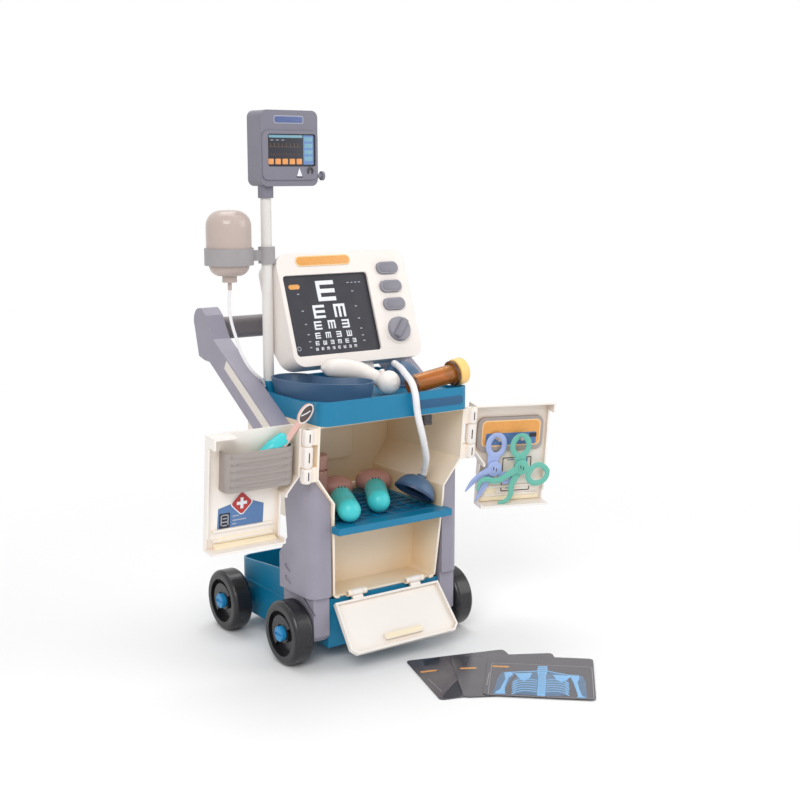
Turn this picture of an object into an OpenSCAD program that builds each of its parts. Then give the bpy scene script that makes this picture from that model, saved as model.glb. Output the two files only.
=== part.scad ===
// Toy doctor's trolley: a wheeled cabinet with two doors and a front flap, a push bar,
// a top tray with a picture viewer, a pole with a monitor and a drip bottle, and loose tools.
// The cart stands on the floor, faces -Y and is built about its own middle plane, x = 0.

/* [Wheels] */
// Outer radius of a wheel
wheel_r = 42; // [38:1:43]
// Width of a tyre
wheel_w = 28; // [22:1:34]
// Diameter of both axles
axle_d = 8; // [6:0.5:10]
// Side clearance between a wheel and what it stands beside
wheel_gap = 2; // [1:0.5:4]
// Radial clearance of a wheel on its axle
wheel_fit = 0.25; // [0.2:0.05:0.4]
// Front axle, measured along Y
front_axle_y = -90; // [-92:1:-88]
// Rear axle, measured along Y
rear_axle_y = 71; // [60:1:74]
// Diameter of a hub cap
cap_d = 20; // [17:1:22]

/* [Chassis] */
// Width of the rear tub
chassis_w = 200; // [196:1:206]
// Height of the tub's underside above the floor
chassis_z = 20; // [16:1:26]
// Rear end of the tub
chassis_rear_y = 95; // [85:1:110]
// Height of the tub's rim at the rear
chassis_rear_top = 93; // [88:1:100]
// Height of the tub's rim just behind the bin
chassis_mid_top = 108; // [102:1:120]
// Wall thickness of the moulded shells
wall = 3; // [2.4:0.2:3.4]
// Plan radius of the tub's rear corners
chassis_r = 20; // [12:1:28]

/* [Legs] */
// Outer face of a leg's upper panel, from the middle
leg_out = 118; // [116:0.5:121]
// Outer face of a leg's lower part, from the middle
leg_low_out = 112; // [108:1:112]
// Bottom of a leg
leg_z = 31; // [26:1:34]
// Height of the step between the lower part and the panel
leg_step_z = 91; // [88:1:95]
// Front face of a leg
leg_front_y = -129; // [-130:0.5:-127]
// Plan radius of a leg's outer front corner
leg_r = 16; // [8:1:18]

/* [Cabinet] */
// Half width of the bin at its floor
cab_low = 82; // [78:1:83]
// Half width of the cabinet at the shelf
cab_mid = 88; // [85:1:90]
// Half width of the cabinet at its top
cab_top_half = 114; // [112:0.5:115]
// Underside of the bin
cab_z = 85; // [84:0.5:87]
// Height where the sides start to flare
flare_low = 214; // [205:1:220]
// Height where the flare ends
flare_high = 250; // [244:1:256]
// Top of the cabinet
cab_top = 318; // [317:0.5:325]
// Forward lean of the cabinet's front
lean = 5.3; // [4.8:0.1:5.8]
// Outer rear face of the bin
bin_back_y = -69; // [-75:1:-66]
// Outer rear face of the upper compartment
cab_back_y = 35; // [25:1:45]

/* [Doors] */
// Distance of a door's hinge line from the middle
hinge_x = 128; // [126:0.5:130]
// Height of the top of the hinges
hinge_z = 317; // [315:0.5:317]
// Width of a door from its hinge line
door_w = 126; // [120:1:127]
// Height of a door
door_h = 146; // [142:1:146]
// Depth of a door behind its rim
door_depth = 26; // [25:0.5:30]
// Thickness of the door shells
door_wall = 2.5; // [2:0.1:3]
// Opening angle of the left door
left_open = 180; // [150:5:180]
// Opening angle of the right door
right_open = 165; // [140:5:180]
// Diameter of the door hinge pins
door_pin_d = 4; // [3:0.5:5]
// Outer diameter of the door hinge barrels
door_barrel_d = 12; // [10:0.5:13]

/* [Flap] */
// Hinge line of the flap along Y
flap_y = -123; // [-124:0.5:-122]
// Height of the flap's hinge line
flap_z = 89; // [88.5:0.5:91]
// Length of the flap from its hinge line
flap_l = 81; // [70:1:81.5]
// Half width of the flap at its hinge
flap_half = 82; // [76:1:83]
// Thickness of the flap with its rim
flap_t = 7; // [6:0.5:8]
// Opening angle of the flap from closed
flap_open = 135; // [90:5:140]

/* [Shelf and tray] */
// Top of the shelf
shelf_top = 185; // [182:0.5:187]
// Front of the shelf's lip
shelf_front_y = -149.5; // [-150:0.5:-144]
// Half width of the tray
tray_half = 114; // [110:0.5:114]
// Front of the tray
tray_front_y = -154; // [-155:0.5:-151]
// Rear of the tray
tray_rear_y = 60; // [50:1:70]
// Height of the tray's front rim above the cabinet
tray_h = 30; // [26:1:34]
// Depth of the tray below its front rim
tray_sink = 8; // [6:0.5:10]

/* [Push handle] */
// Thickness of a handle arm
arm_t = 26; // [20:1:30]
// Depth of the push bar
bar_d = 22; // [16:1:26]
// Height of the push bar's section
bar_h = 30; // [24:1:34]

/* [Pole and monitor] */
// Diameter of the pole
pole_d = 14; // [12:0.5:15]
// Length of the pole above the tray floor
pole_l = 266; // [262:1:290]
// Width of the monitor
mon_w = 84; // [78:1:96]
// Height of the monitor
mon_h = 96; // [90:1:110]
// Depth of the monitor
mon_d = 38; // [34:1:44]

/* [Drip] */
// Diameter of the drip bottle
drip_d = 58; // [52:1:58]
// Height of the bottle above its ring
drip_up = 48; // [44:1:60]
// Distance of the bottle from the pole
drip_reach = 55; // [53:0.5:57]

/* [Viewer] */
// Width of the viewer
view_w = 203; // [196:1:212]
// Slant height of the viewer
view_h = 152; // [148:1:164]
// Depth of the viewer
view_d = 50; // [46:1:56]
// Backward tilt of the viewer
view_tilt = 20; // [18:0.5:22]
// Width of a picture film
film_w = 136; // [128:1:137]
// Length of a picture film
film_l = 134; // [124:1:136]
// Thickness of a picture film
film_t = 0.8; // [0.6:0.1:1.2]
// Travel of a button
button_travel = 2; // [1:0.5:2.5]

/* [Loose tools] */
// Diameter of the amber bottle
amber_d = 25; // [20:1:25]
// Diameter of the two tools' handles
tool_d = 30; // [24:1:31]
// Thickness of each half of the scissors and of the forceps
blade_t = 2.4; // [2:0.1:2.4]
// Diameter of the hose to the mask
hose_d = 9; // [7:0.5:9]
// Diameter of the drip tube
tube_d = 4; // [3:0.5:4]

/* [Hidden] */
$fn = 48;
tiny = 0.01;
fit = 0.3;                  // clearance between pieces that move past each other
pin_fit = 0.15;             // radial clearance of a hinge on its pin
set_shift = [-1, 137, 0];   // moves the middle of the set's footprint to the origin

function front_y(z) = flap_y - (z - flap_z) * tan(lean);
function mirrored(points) = concat(points, [for (i = [len(points) - 1:-1:0]) [-points[i][0], points[i][1]]]);
function arc(cx, cy, r, from, to, steps = 6) =
    [for (i = [0:steps]) let (a = from + (to - from) * i / steps) [cx + r * cos(a), cy + r * sin(a)]];
function unit(v) = v / norm(v);

// Moves the cart's own frame to the set's frame.
module cart() {
    translate(set_shift) children();
}

// Extrudes an outline drawn as (x, z) along Y.
module along_y(y0, y1) {
    translate([0, y1, 0]) rotate([90, 0, 0]) linear_extrude(y1 - y0) children();
}

// Extrudes an outline drawn as (y, z) along X.
module along_x(x0, x1) {
    translate([x0, 0, 0]) rotate([90, 0, 90]) linear_extrude(x1 - x0) children();
}

module block(low, high) {
    translate(low) cube(high - low);
}

// Rectangle with round corners, centred.
module round_rect(w, h, r) {
    if (w > 2 * r) square([w - 2 * r, h], center = true);
    if (h > 2 * r) square([w, h - 2 * r], center = true);
    for (x = [-1, 1], y = [-1, 1]) translate([x * (w / 2 - r), y * (h / 2 - r)]) circle(r);
}

module rod_x(x0, x1, d) {
    translate([x0, 0, 0]) rotate([0, 90, 0]) cylinder(h = x1 - x0, d = d);
}

module rod_y(y0, y1, d) {
    translate([0, y1, 0]) rotate([90, 0, 0]) cylinder(h = y1 - y0, d = d);
}

// Lays what is drawn along Z along the line from a to b.
module aim(a, b) {
    v = b - a;
    translate(a) rotate([0, acos(v[2] / norm(v)), atan2(v[1], v[0])]) children();
}

// A tube swept along points, as one solid with flat sides.
module cord(points, d, sides = 8) {
    n = len(points);
    tangent = [for (i = [0:n - 1]) unit(points[min(i + 1, n - 1)] - points[max(i - 1, 0)])];
    side = [for (t = tangent) unit(cross(t, abs(t[0]) < 0.8 ? [1, 0, 0] : [0, 1, 0]))];
    rings = [for (i = [0:n - 1], k = [0:sides - 1])
        let (a = 360 * k / sides) points[i] + d / 2 * (cos(a) * side[i] + sin(a) * cross(tangent[i], side[i]))];
    walls = [for (i = [0:n - 2], k = [0:sides - 1]) let (j = (k + 1) % sides)
        [i * sides + k, (i + 1) * sides + k, (i + 1) * sides + j, i * sides + j]];
    polyhedron(rings, concat([[for (k = [0:sides - 1]) k]], walls,
        [[for (k = [sides - 1:-1:0]) (n - 1) * sides + k]]));
}

// ---- Wheels and axles ----

leg_in = cab_mid + fit;
tyre_in = leg_low_out + wheel_gap;
tyre_out = tyre_in + wheel_w;
hub_depth = 9;
boss_depth = 4;
cap_out = tyre_out + 3;
axle_end = cap_out - 2;

// A wheel turns about X, with its hub facing +X.
module wheel(at_y) {
    bore_r = axle_d / 2 + wheel_fit;
    color([0.16, 0.16, 0.17]) cart() translate([tyre_in, at_y, wheel_r]) rotate([0, 90, 0]) difference() {
        rotate_extrude($fn = 96) difference() {
            union() {
                translate([bore_r, 1]) square([wheel_r - 6 - bore_r, wheel_w - 1]);
                translate([wheel_r - 14, 0]) square([8, wheel_w]);
                translate([wheel_r - 12, 6]) square([12, wheel_w - 12]);
                for (z = [6, wheel_w - 6]) translate([wheel_r - 6, z]) circle(6);
            }
            translate([cap_d / 2 + 3, wheel_w - hub_depth]) square([wheel_r * 0.71 - cap_d / 2 - 3, hub_depth + 1]);
            translate([0, wheel_w - boss_depth]) square([cap_d / 2 + 3 + tiny, boss_depth + 1]);
            translate([axle_d / 2 + 5, -1]) square([wheel_r - 14 - axle_d / 2 - 9, 8]);
        }
    }
    color([0.16, 0.16, 0.17]) cart() translate([tyre_out - hub_depth - 1, at_y, wheel_r]) rotate([0, 90, 0])
        rotate([0, 0, 40]) rotate_extrude(angle = 200)
        translate([cap_d / 2 + 2, 0]) square([wheel_r * 0.71 - cap_d / 2 - 8, hub_depth - 1]);
}

module right_wheel(at_y) wheel(at_y);
module left_wheel(at_y) {
    translate([2 * set_shift[0], 0, 0]) mirror([1, 0, 0]) wheel(at_y);
}

module axle(at_y) {
    color([0.75, 0.76, 0.78]) cart() translate([0, at_y, wheel_r]) rod_x(-axle_end, axle_end, axle_d);
}

module hub_caps() {
    color([0.1, 0.53, 0.72]) cart() for (y = [front_axle_y, rear_axle_y], s = [-1, 1])
        translate([0, y, wheel_r]) rotate([0, s * 90, 0]) difference() {
            union() {
                translate([0, 0, tyre_out - boss_depth + fit]) cylinder(h = boss_depth - fit + 2, d = cap_d);
                translate([0, 0, tyre_out + 2 - tiny]) cylinder(h = 1, d = cap_d - 2);
            }
            translate([0, 0, tyre_out - boss_depth]) cylinder(h = axle_end - tyre_out + boss_depth, d = axle_d);
            translate([0, 0, cap_out]) cube([3, cap_d - 4, 3], center = true);
        }
}

// ---- Chassis and legs ----

chassis_front_y = flap_y + 3;
chassis_low_half = leg_in - 2 * fit;
chassis_step_y = -49.5;

module chassis_plan(inset) {
    w = chassis_w / 2 - inset;
    r = chassis_r - inset;
    rear = chassis_rear_y - inset;
    polygon(mirrored(concat(
        [[chassis_low_half - inset, chassis_front_y + inset], [chassis_low_half - inset, chassis_step_y + inset],
         [w, chassis_step_y + inset]],
        arc(w - r, rear - r, r, 0, 90, 10))));
}

module chassis_side(top_cut) {
    z0 = chassis_z + top_cut;
    polygon([[chassis_front_y - 1, z0], [chassis_rear_y + 1, z0], [chassis_rear_y + 1, chassis_rear_top],
        [bin_back_y + fit, chassis_mid_top], [bin_back_y + fit, cab_z - fit], [chassis_front_y - 1, cab_z - fit]]);
}

module chassis() {
    inner_top = cab_z - fit - wall;
    color([0.1, 0.53, 0.71]) cart() difference() {
        union() {
            difference() {
                intersection() {
                    linear_extrude(chassis_mid_top + 10) chassis_plan(0);
                    along_x(-chassis_w, chassis_w) chassis_side(0);
                }
                intersection() {
                    translate([0, 0, chassis_z + wall]) linear_extrude(chassis_mid_top) chassis_plan(wall);
                    block([-chassis_w, bin_back_y + fit + wall, 0], [chassis_w, chassis_rear_y, 200]);
                }
                intersection() {
                    translate([0, 0, chassis_z + wall]) linear_extrude(inner_top - chassis_z - wall) chassis_plan(wall);
                    block([-chassis_w, chassis_front_y, 0], [chassis_w, bin_back_y + fit, 200]);
                }
            }
            // spacers that hold the rear wheels off the tub
            for (s = [-1, 1]) translate([0, rear_axle_y, wheel_r]) rotate([0, s * 90, 0])
                translate([0, 0, chassis_w / 2 - wall]) cylinder(h = tyre_in - chassis_w / 2 + wall - 0.8, d = axle_d + 12);
            // the long ledge above the rear wheels
            for (s = [-1, 1]) block([s > 0 ? chassis_w / 2 - tiny : -chassis_w / 2 - 2, chassis_step_y, 64],
                [s > 0 ? chassis_w / 2 + 2 : -chassis_w / 2 + tiny, chassis_rear_y - chassis_r, 67]);
            // bearing blocks for the axles
            for (y = [front_axle_y, rear_axle_y], x = [-50, 50])
                block([x - 4, y - 9, chassis_z + wall - tiny], [x + 4, y + 9, wheel_r + axle_d / 2 + 4]);
        }
        for (y = [front_axle_y, rear_axle_y]) translate([0, y, wheel_r]) rod_x(-tyre_in, tyre_in, axle_d);
    }
}

leg_rear_y = -50;
leg_waist_y = -71;

// Side outline of a leg's panel as (y, z).
module leg_side() {
    polygon([[leg_front_y, leg_step_z], [leg_rear_y, leg_step_z], [leg_rear_y, 137], [leg_waist_y, 162],
        [leg_waist_y + 5, 210], [leg_waist_y + 5, flare_high], [leg_front_y, flare_high]]);
}

module leg_plan() {
    polygon(concat([[leg_in, leg_front_y]], arc(leg_out - leg_r, leg_front_y + leg_r, leg_r, -90, 0, 8),
        [[leg_out, 0], [leg_in, 0]]));
}

// Front outline of a leg's panel as (x, z): it carries the flared sides of the cabinet.
module leg_face() {
    gap = fit * 0.7;
    polygon([[leg_in, leg_step_z], [leg_out + 1, leg_step_z], [leg_out + 1, flare_high - gap],
        [cab_top_half + gap, flare_high - gap], [leg_in, flare_low - gap]]);
}

module leg() {
    slot_r = 3;
    difference() {
        union() {
            intersection() {
                linear_extrude(flare_high) leg_plan();
                along_x(leg_in, leg_out) leg_side();
                along_y(leg_front_y - 1, 0) leg_face();
            }
            along_x(leg_in, leg_low_out) polygon([[leg_front_y + 5, leg_z + 8], [leg_front_y + 13, leg_z],
                [leg_rear_y - 8, leg_z], [leg_rear_y, leg_z + 8], [leg_rear_y, leg_step_z + tiny],
                [leg_front_y + 5, leg_step_z + tiny]]);
        }
        translate([0, front_axle_y, wheel_r]) rod_x(leg_in - 1, tyre_in, axle_d);
        // two short slots and a slanting groove in the outer face
        for (z = [105, 121]) along_x(leg_out - 1.5, leg_out + 1)
            translate([leg_waist_y, z]) rotate(25) round_rect(16, 2 * slot_r, slot_r);
    }
}

module right_leg() {
    color([0.57, 0.56, 0.62]) cart() leg();
}

module left_leg() {
    color([0.57, 0.56, 0.62]) cart() mirror([1, 0, 0]) leg();
}

// ---- Cabinet ----

function cabinet_outline(inset) = mirrored(concat(
    arc(cab_low - 8, cab_z + 8, 8 - inset, -90, 0, 5),
    [[cab_mid - inset, 200], [cab_mid - inset, flare_low], [cab_top_half - inset, flare_high],
     [cab_top_half - inset, cab_top]]));
shelf_floor = shelf_top - 13;                   // underside of the upper compartment
lip_h = 9;                                      // height of the shelf's lip
door_axis_back = 2.6;                           // the doors' hinge line lies this far behind the front plane
hinge_y = front_y(hinge_z) + door_axis_back;
knuckle_top = [-22, -1];
knuckle_mid = [-50, -22.6];
knuckle_low = [-70, -50.6];
knuckle_gap = 1;

// Moves to the hinge line of a door, side = 1 for the right one.
module at_hinge(side) {
    translate([side * hinge_x, hinge_y, hinge_z]) rotate([lean, 0, 0]) children();
}

module cabinet_hinges() {
    arm = hinge_x - cab_top_half + wall / 2;    // it ends inside the side wall
    for (side = [-1, 1], span = [knuckle_top, knuckle_low]) at_hinge(side) difference() {
        translate([0, 0, span[0]]) union() {
            cylinder(h = span[1] - span[0], d = door_barrel_d);
            translate([side > 0 ? -arm : 0, -door_axis_back + 0.6, 0])
                cube([arm, door_axis_back - 1.1 + door_barrel_d / 2, span[1] - span[0]]);
        }
        translate([0, 0, span[0] - 1]) cylinder(h = span[1] - span[0] + 2, d = door_pin_d);
    }
}

flap_barrel_d = 9;
flap_pin_d = 4;
flap_knuckle_x = 46;
flap_knuckle_w = 16;
lug_w = 6;

module cabinet_shell() {
    back_in = bin_back_y - wall;
    floor_front_y = flap_y + flap_barrel_d / 2 + 0.8;
    color([0.93, 0.9, 0.87]) cart() difference() {
        union() {
            difference() {
                intersection() {
                    along_y(-200, cab_back_y) polygon(cabinet_outline(0));
                    along_x(-150, 150) polygon([[front_y(cab_z), cab_z], [bin_back_y, cab_z],
                        [bin_back_y, shelf_floor], [cab_back_y - 12, shelf_floor], [cab_back_y, shelf_floor + 12],
                        [cab_back_y, cab_top], [front_y(cab_top), cab_top]]);
                }
                intersection() {
                    along_y(-200, cab_back_y + 1) polygon(cabinet_outline(wall));
                    along_x(-150, 150) polygon([[-200, cab_z + wall], [back_in, cab_z + wall],
                        [back_in, shelf_floor + wall], [cab_back_y - 13, shelf_floor + wall],
                        [cab_back_y + 1, shelf_floor + wall + 14], [cab_back_y + 1, cab_top - wall],
                        [-200, cab_top - wall]]);
                }
                // room for the flap's hinges in front of the bin floor
                block([-cab_low + 10, -200, cab_z - 1], [cab_low - 10, floor_front_y, cab_z + wall + 2]);
            }
            // lugs that carry the flap's pins
            for (x = [-flap_knuckle_x, flap_knuckle_x], s = [-1, 1])
                translate([x + s * (flap_knuckle_w / 2 + fit + lug_w / 2), 0, 0]) union() {
                    translate([0, flap_y, flap_z]) rod_x(-lug_w / 2, lug_w / 2, flap_barrel_d);
                    block([-lug_w / 2, flap_y, cab_z], [lug_w / 2, floor_front_y + 4, cab_z + wall]);
                }
            // ledges under the shelf
            for (s = [-1, 1]) block([s > 0 ? cab_mid - wall - 6 : -cab_mid + 0.5, front_y(200) + 20, shelf_floor],
                [s > 0 ? cab_mid - 0.5 : -cab_mid + wall + 6, bin_back_y, shelf_floor + wall]);
            cabinet_hinges();
        }
        translate([0, flap_y, flap_z]) rod_x(-80, 80, flap_pin_d);
        arm_screw_bores(3.2);
    }
}

module cabinet_back() {
    gap = 0.1;
    z0 = shelf_floor + wall + 16;
    color([0.93, 0.9, 0.87]) cart() union() {
        intersection() {
            along_y(cab_back_y - wall, cab_back_y) polygon(cabinet_outline(wall + gap));
            block([-150, -200, z0], [150, 200, cab_top - wall - gap]);
        }
        along_y(cab_back_y - wall - 4, cab_back_y - wall + tiny)
            translate([0, 262]) round_rect(96, 64, 8);
    }
}

module shelf() {
    half = cab_mid - wall - 2 - fit;
    lip_half = cab_mid + 1;
    body_front_y = front_y(shelf_top) - fit;
    under = shelf_floor + wall + 0.2;
    lip_bottom = shelf_top - lip_h;
    color([0.1, 0.53, 0.71]) cart() difference() {
        union() {
            block([-half, body_front_y - 3, under], [half, cab_back_y - wall - 14, shelf_top]);
            block([-lip_half, shelf_front_y, lip_bottom], [lip_half, body_front_y, shelf_top]);
        }
        block([-half + wall, body_front_y + wall, under - 1], [half - wall, cab_back_y - wall - 17, shelf_top - wall]);
        block([-lip_half + wall, shelf_front_y + wall, lip_bottom - 1], [lip_half - wall, body_front_y, shelf_top - wall]);
        // shallow channels between the ribs
        for (i = [-3:3]) block([i * 22 - 8, body_front_y + 8, shelf_top - 1.2], [i * 22 + 8, -8, shelf_top + 1]);
    }
}

module door_catch() {
    x = 56;
    y = front_y(cab_top) + 4;
    color([0.2, 0.2, 0.22]) cart() union() {
        block([x - 6, y, cab_top - wall - 13], [x + 6, y + 9, cab_top - wall]);
        translate([x, y + 1, cab_top - wall - 13]) rod_x(-6, 6, 4);
    }
}

// ---- Flap ----

// Draws in the closed flap's own frame: x, n out of the cabinet, u up from the hinge line.
module flap_frame() {
    translate([0, flap_y, flap_z]) rotate([lean + flap_open, 0, 0]) children();
}

module flap() {
    far_half = flap_half + 3;
    skin = 2.5;
    rim = 3;
    color([0.95, 0.93, 0.9]) cart() flap_frame() difference() {
        union() {
            difference() {
                translate([0, -fit, 0]) rotate([90, 0, 0]) linear_extrude(flap_t - fit) polygon(mirrored(
                    [[flap_half, 9], [far_half, flap_l - 8], [far_half - 8, flap_l]]));
                translate([0, -fit + 1, 0]) rotate([90, 0, 0]) linear_extrude(flap_t - skin - fit + 1) polygon(mirrored(
                    [[flap_half - rim, 9 + rim], [far_half - rim, flap_l - 9], [far_half - 9, flap_l - rim]]));
            }
            // grip rib near the free edge
            translate([0, -fit, flap_l - 14]) rotate([90, 0, 0]) linear_extrude(flap_t - skin) round_rect(60, 9, 3);
            for (x = [-flap_knuckle_x, flap_knuckle_x]) translate([x, 0, 0]) union() {
                rod_x(-flap_knuckle_w / 2, flap_knuckle_w / 2, flap_barrel_d);
                block([-flap_knuckle_w / 2, -flap_barrel_d / 2, 0], [flap_knuckle_w / 2, -0.6, 12]);
            }
        }
        rod_x(-90, 90, flap_pin_d + 2 * pin_fit);
        // clearance for the cabinet's lugs
        for (x = [-flap_knuckle_x, flap_knuckle_x], s = [-1, 1])
            translate([x + s * (flap_knuckle_w / 2 + fit + lug_w / 2), 0, 0])
                rod_x(-lug_w / 2 - fit, lug_w / 2 + fit, flap_barrel_d + 2);
    }
}

// ---- Doors ----

// Moves to an open door: x runs from the hinge line to the free edge (towards -x on the left one),
// y runs from the rim plane to the outer skin, and z runs down from the top as a negative number.
module on_door(side) {
    open = side > 0 ? right_open : left_open;
    cart() at_hinge(side) rotate([0, 0, side * (open - 180)]) children();
}

door_in = door_barrel_d / 2 + knuckle_gap;      // where the shell starts beside its hinge line
door_low_in = 24;                               // the same below the flare
door_chamfer = [-61, -82];
low_rim = 8;                                    // height of the low stretches of rim above the outer skin

function door_outline(inset) = [[door_in + inset, -inset], [door_w - inset, -inset],
    [door_w - inset, -door_h + inset], [door_low_in + inset, -door_h + inset],
    [door_low_in + inset, door_chamfer[1]], [door_in + inset, door_chamfer[0]]];

// How far the shelf's lip reaches into a closed door, and the height that it takes there.
lip_reach = (front_y(shelf_top - lip_h) - shelf_front_y) * cos(lean) + door_axis_back + 0.6;
lip_high = (shelf_top - hinge_z + lip_reach * sin(lean)) / cos(lean) + 0.8;

// A right door, with its hinge side at x = 0. open_top lowers the rim above the pocket.
module door_shell(open_top) {
    rim_y = door_axis_back;
    skin_y = door_depth - door_wall;
    difference() {
        union() {
            difference() {
                along_y(rim_y, door_depth) polygon(door_outline(0));
                along_y(rim_y - 1, skin_y) polygon(door_outline(door_wall));
                // the rim is low where tools hang past it
                block([door_low_in - 1, rim_y - 1, -door_h + 6], [door_low_in + door_wall, door_depth - low_rim, door_chamfer[1] - 4]);
                // and low along the free edge
                block([door_w - door_wall - 0.5, rim_y - 1, -door_h + 8], [door_w + 1, door_depth - low_rim, -14]);
                // notch for the shelf's lip in the free edge
                block([door_w - door_wall - 0.5, rim_y - 1, -door_h + door_wall], [door_w + 1, lip_reach, lip_high]);
                if (open_top) block([door_in + door_wall, rim_y - 1, -door_wall - tiny], [door_w - 30, skin_y, 1]);
            }
            // the door's knuckle and its arm
            translate([0, 0, knuckle_mid[0]]) cylinder(h = knuckle_mid[1] - knuckle_mid[0], d = door_barrel_d);
            block([0, rim_y, knuckle_mid[0]], [door_in + door_wall, door_barrel_d / 2 - 0.5, knuckle_mid[1]]);
            // ribs at the foot of the door
            for (z = [-door_h + 10, -door_h + 22]) block([door_low_in + 8, lip_reach, z], [door_w - 10, skin_y + tiny, z + 3]);
        }
        translate([0, 0, knuckle_mid[0] - 1]) cylinder(h = knuckle_mid[1] - knuckle_mid[0] + 2, d = door_pin_d + 2 * pin_fit);
    }
}

module right_door() {
    color([0.95, 0.92, 0.89]) on_door(1) door_shell(false);
}

module left_door() {
    color([0.95, 0.92, 0.89]) on_door(-1) mirror([1, 0, 0]) door_shell(true);
}

// The pins of both doors and of the flap's two hinges.
module hinge_pins() {
    half = flap_knuckle_w / 2 + fit + lug_w;
    color([0.75, 0.76, 0.78]) cart() union() {
        for (side = [-1, 1]) at_hinge(side)
            translate([0, 0, knuckle_low[0]]) cylinder(h = knuckle_top[1] - knuckle_low[0], d = door_pin_d);
        for (x = [-flap_knuckle_x, flap_knuckle_x])
            translate([x, flap_y, flap_z]) rod_x(-half, half, flap_pin_d);
    }
}

panel_y = door_depth - door_wall;               // inner face of a door's panel
pocket_front = 3;                               // depth of the pocket's front behind the rim plane
pocket_x = [14, 108];
pocket_z = [-70, -21];

// A bulging pocket, open at its top. It is drawn as a bent wall with a bottom.
module door_pocket() {
    t = 1.6;
    r = 10;
    color([0.62, 0.62, 0.65]) on_door(-1) mirror([1, 0, 0]) difference() {
        intersection() {
            translate([0, 0, pocket_z[0]]) linear_extrude(pocket_z[1] - pocket_z[0]) pocket_plan(0, r);
            along_y(0, door_depth) polygon(door_outline(door_wall + 0.2));
        }
        intersection() {
            translate([0, 0, pocket_z[0] + t]) linear_extrude(pocket_z[1] - pocket_z[0]) pocket_plan(t, r);
            along_y(0, door_depth) polygon(door_outline(door_wall + 0.2 + t));
        }
        // ribs pressed into the front
        for (z = [-62, -53, -44, -35]) block([pocket_x[0] + 12, pocket_front - 1, z - 1.2],
            [pocket_x[1] - 12, pocket_front + 0.6, z + 1.2]);
    }
}

module pocket_plan(inset, r) {
    x0 = pocket_x[0] + inset;
    x1 = pocket_x[1] - inset;
    y0 = pocket_front + inset;
    polygon(concat([[x0, panel_y + (inset > 0 ? 1 : 0)]], arc(x0 + r, y0 + r, r, 180, 270, 6),
        arc(x1 - r, y0 + r, r, 270, 360, 6), [[x1, panel_y + (inset > 0 ? 1 : 0)]]));
}

plate_t = 4;
plate_x = [20, 118];
plate_z = [-70, -22];
peg_d = 4.4;
peg_front = 3.4;
scissors_peg = [46, -50];
forceps_peg = [80, -50];

module hanger_plate() {
    mid = [(plate_x[0] + plate_x[1]) / 2, (plate_z[0] + plate_z[1]) / 2];
    color([0.7, 0.62, 0.57]) on_door(1) union() {
        along_y(panel_y - plate_t, panel_y) translate(mid)
            round_rect(plate_x[1] - plate_x[0], plate_z[1] - plate_z[0], 10);
        for (p = [scissors_peg, forceps_peg]) translate([p[0], 0, p[1]]) rod_y(peg_front, panel_y - plate_t + tiny, peg_d);
    }
}

// ---- Scissors and forceps, drawn on the right door ----

scissors_y = [10.8, 13.6];
forceps_y = [4.6, 7.4];
rivet_d = 4;
ring_r = 13.5;
ring_wall = 4.2;
hang_gap = 0.9;                                  // room above a peg inside the ring that hangs on it

// One half: a ring, a shank through the pivot and a tapering blade. Points are (x, z) on the door.
module instrument_half(ring, pivot, tip, y, tip_w, bore_d) {
    back = unit(pivot - ring);
    ahead = unit(tip - pivot);
    across = [-back[1], back[0]];
    side = [-ahead[1], ahead[0]];
    start = ring + back * (ring_r - 2);
    difference() {
        union() {
            along_y(y, y + blade_t) translate(ring) circle(ring_r);
            along_y(y, y + blade_t) translate(pivot) circle(8);
            along_y(y, y + blade_t)
                polygon([start + across * 4, pivot + across * 4.5, pivot - across * 4.5, start - across * 4]);
            along_y(y, y + blade_t)
                polygon([pivot + side * 6, tip + side * tip_w, tip - side * tip_w, pivot - side * 6]);
            along_y(y, y + blade_t) translate(tip) circle(tip_w);
        }
        along_y(y - 1, y + blade_t + 1) translate(ring) circle(ring_r - ring_wall);
        if (bore_d > 0) along_y(y - 1, y + blade_t + 1) translate(pivot) circle(d = bore_d);
    }
}

module rivet(pivot, y0, y1) {
    translate([pivot[0], 0, pivot[1]]) rod_y(y0, y1, rivet_d);
}

rivet_bore_d = rivet_d + 2 * pin_fit;
scissors_pivot = [45, -92];
forceps_pivot = [83, -88];
scissors_ring = [scissors_peg[0], scissors_peg[1] - ring_r + ring_wall + peg_d / 2 + hang_gap];
forceps_ring = [forceps_peg[0], forceps_peg[1] - ring_r + ring_wall + peg_d / 2 + hang_gap + 0.6];

module scissors_fixed_half() {
    color([0.63, 0.7, 0.88]) on_door(1) union() {
        instrument_half(scissors_ring, scissors_pivot, [20, -137], scissors_y[1], 2.5, 0);
        rivet(scissors_pivot, scissors_y[0], scissors_y[1] + 1);
    }
}

module scissors_free_half() {
    color([0.63, 0.7, 0.88]) on_door(1)
        instrument_half([70, -112], scissors_pivot, [5, -122], scissors_y[0], 2.5, rivet_bore_d);
}

module forceps_fixed_half() {
    color([0.45, 0.74, 0.66]) on_door(1) union() {
        instrument_half(forceps_ring, forceps_pivot, [34, -131], forceps_y[1], 3, 0);
        rivet(forceps_pivot, forceps_y[0], forceps_y[1] + 1);
    }
}

module forceps_free_half() {
    color([0.45, 0.74, 0.66]) on_door(1)
        instrument_half([106, -102], forceps_pivot, [26, -114], forceps_y[0], 3, rivet_bore_d);
}

// ---- Mirror and syringe in the pocket of the left door ----

mirror_y = 5.2;
mirror_head = [0, 17];
mirror_foot = [62, -60];

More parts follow.
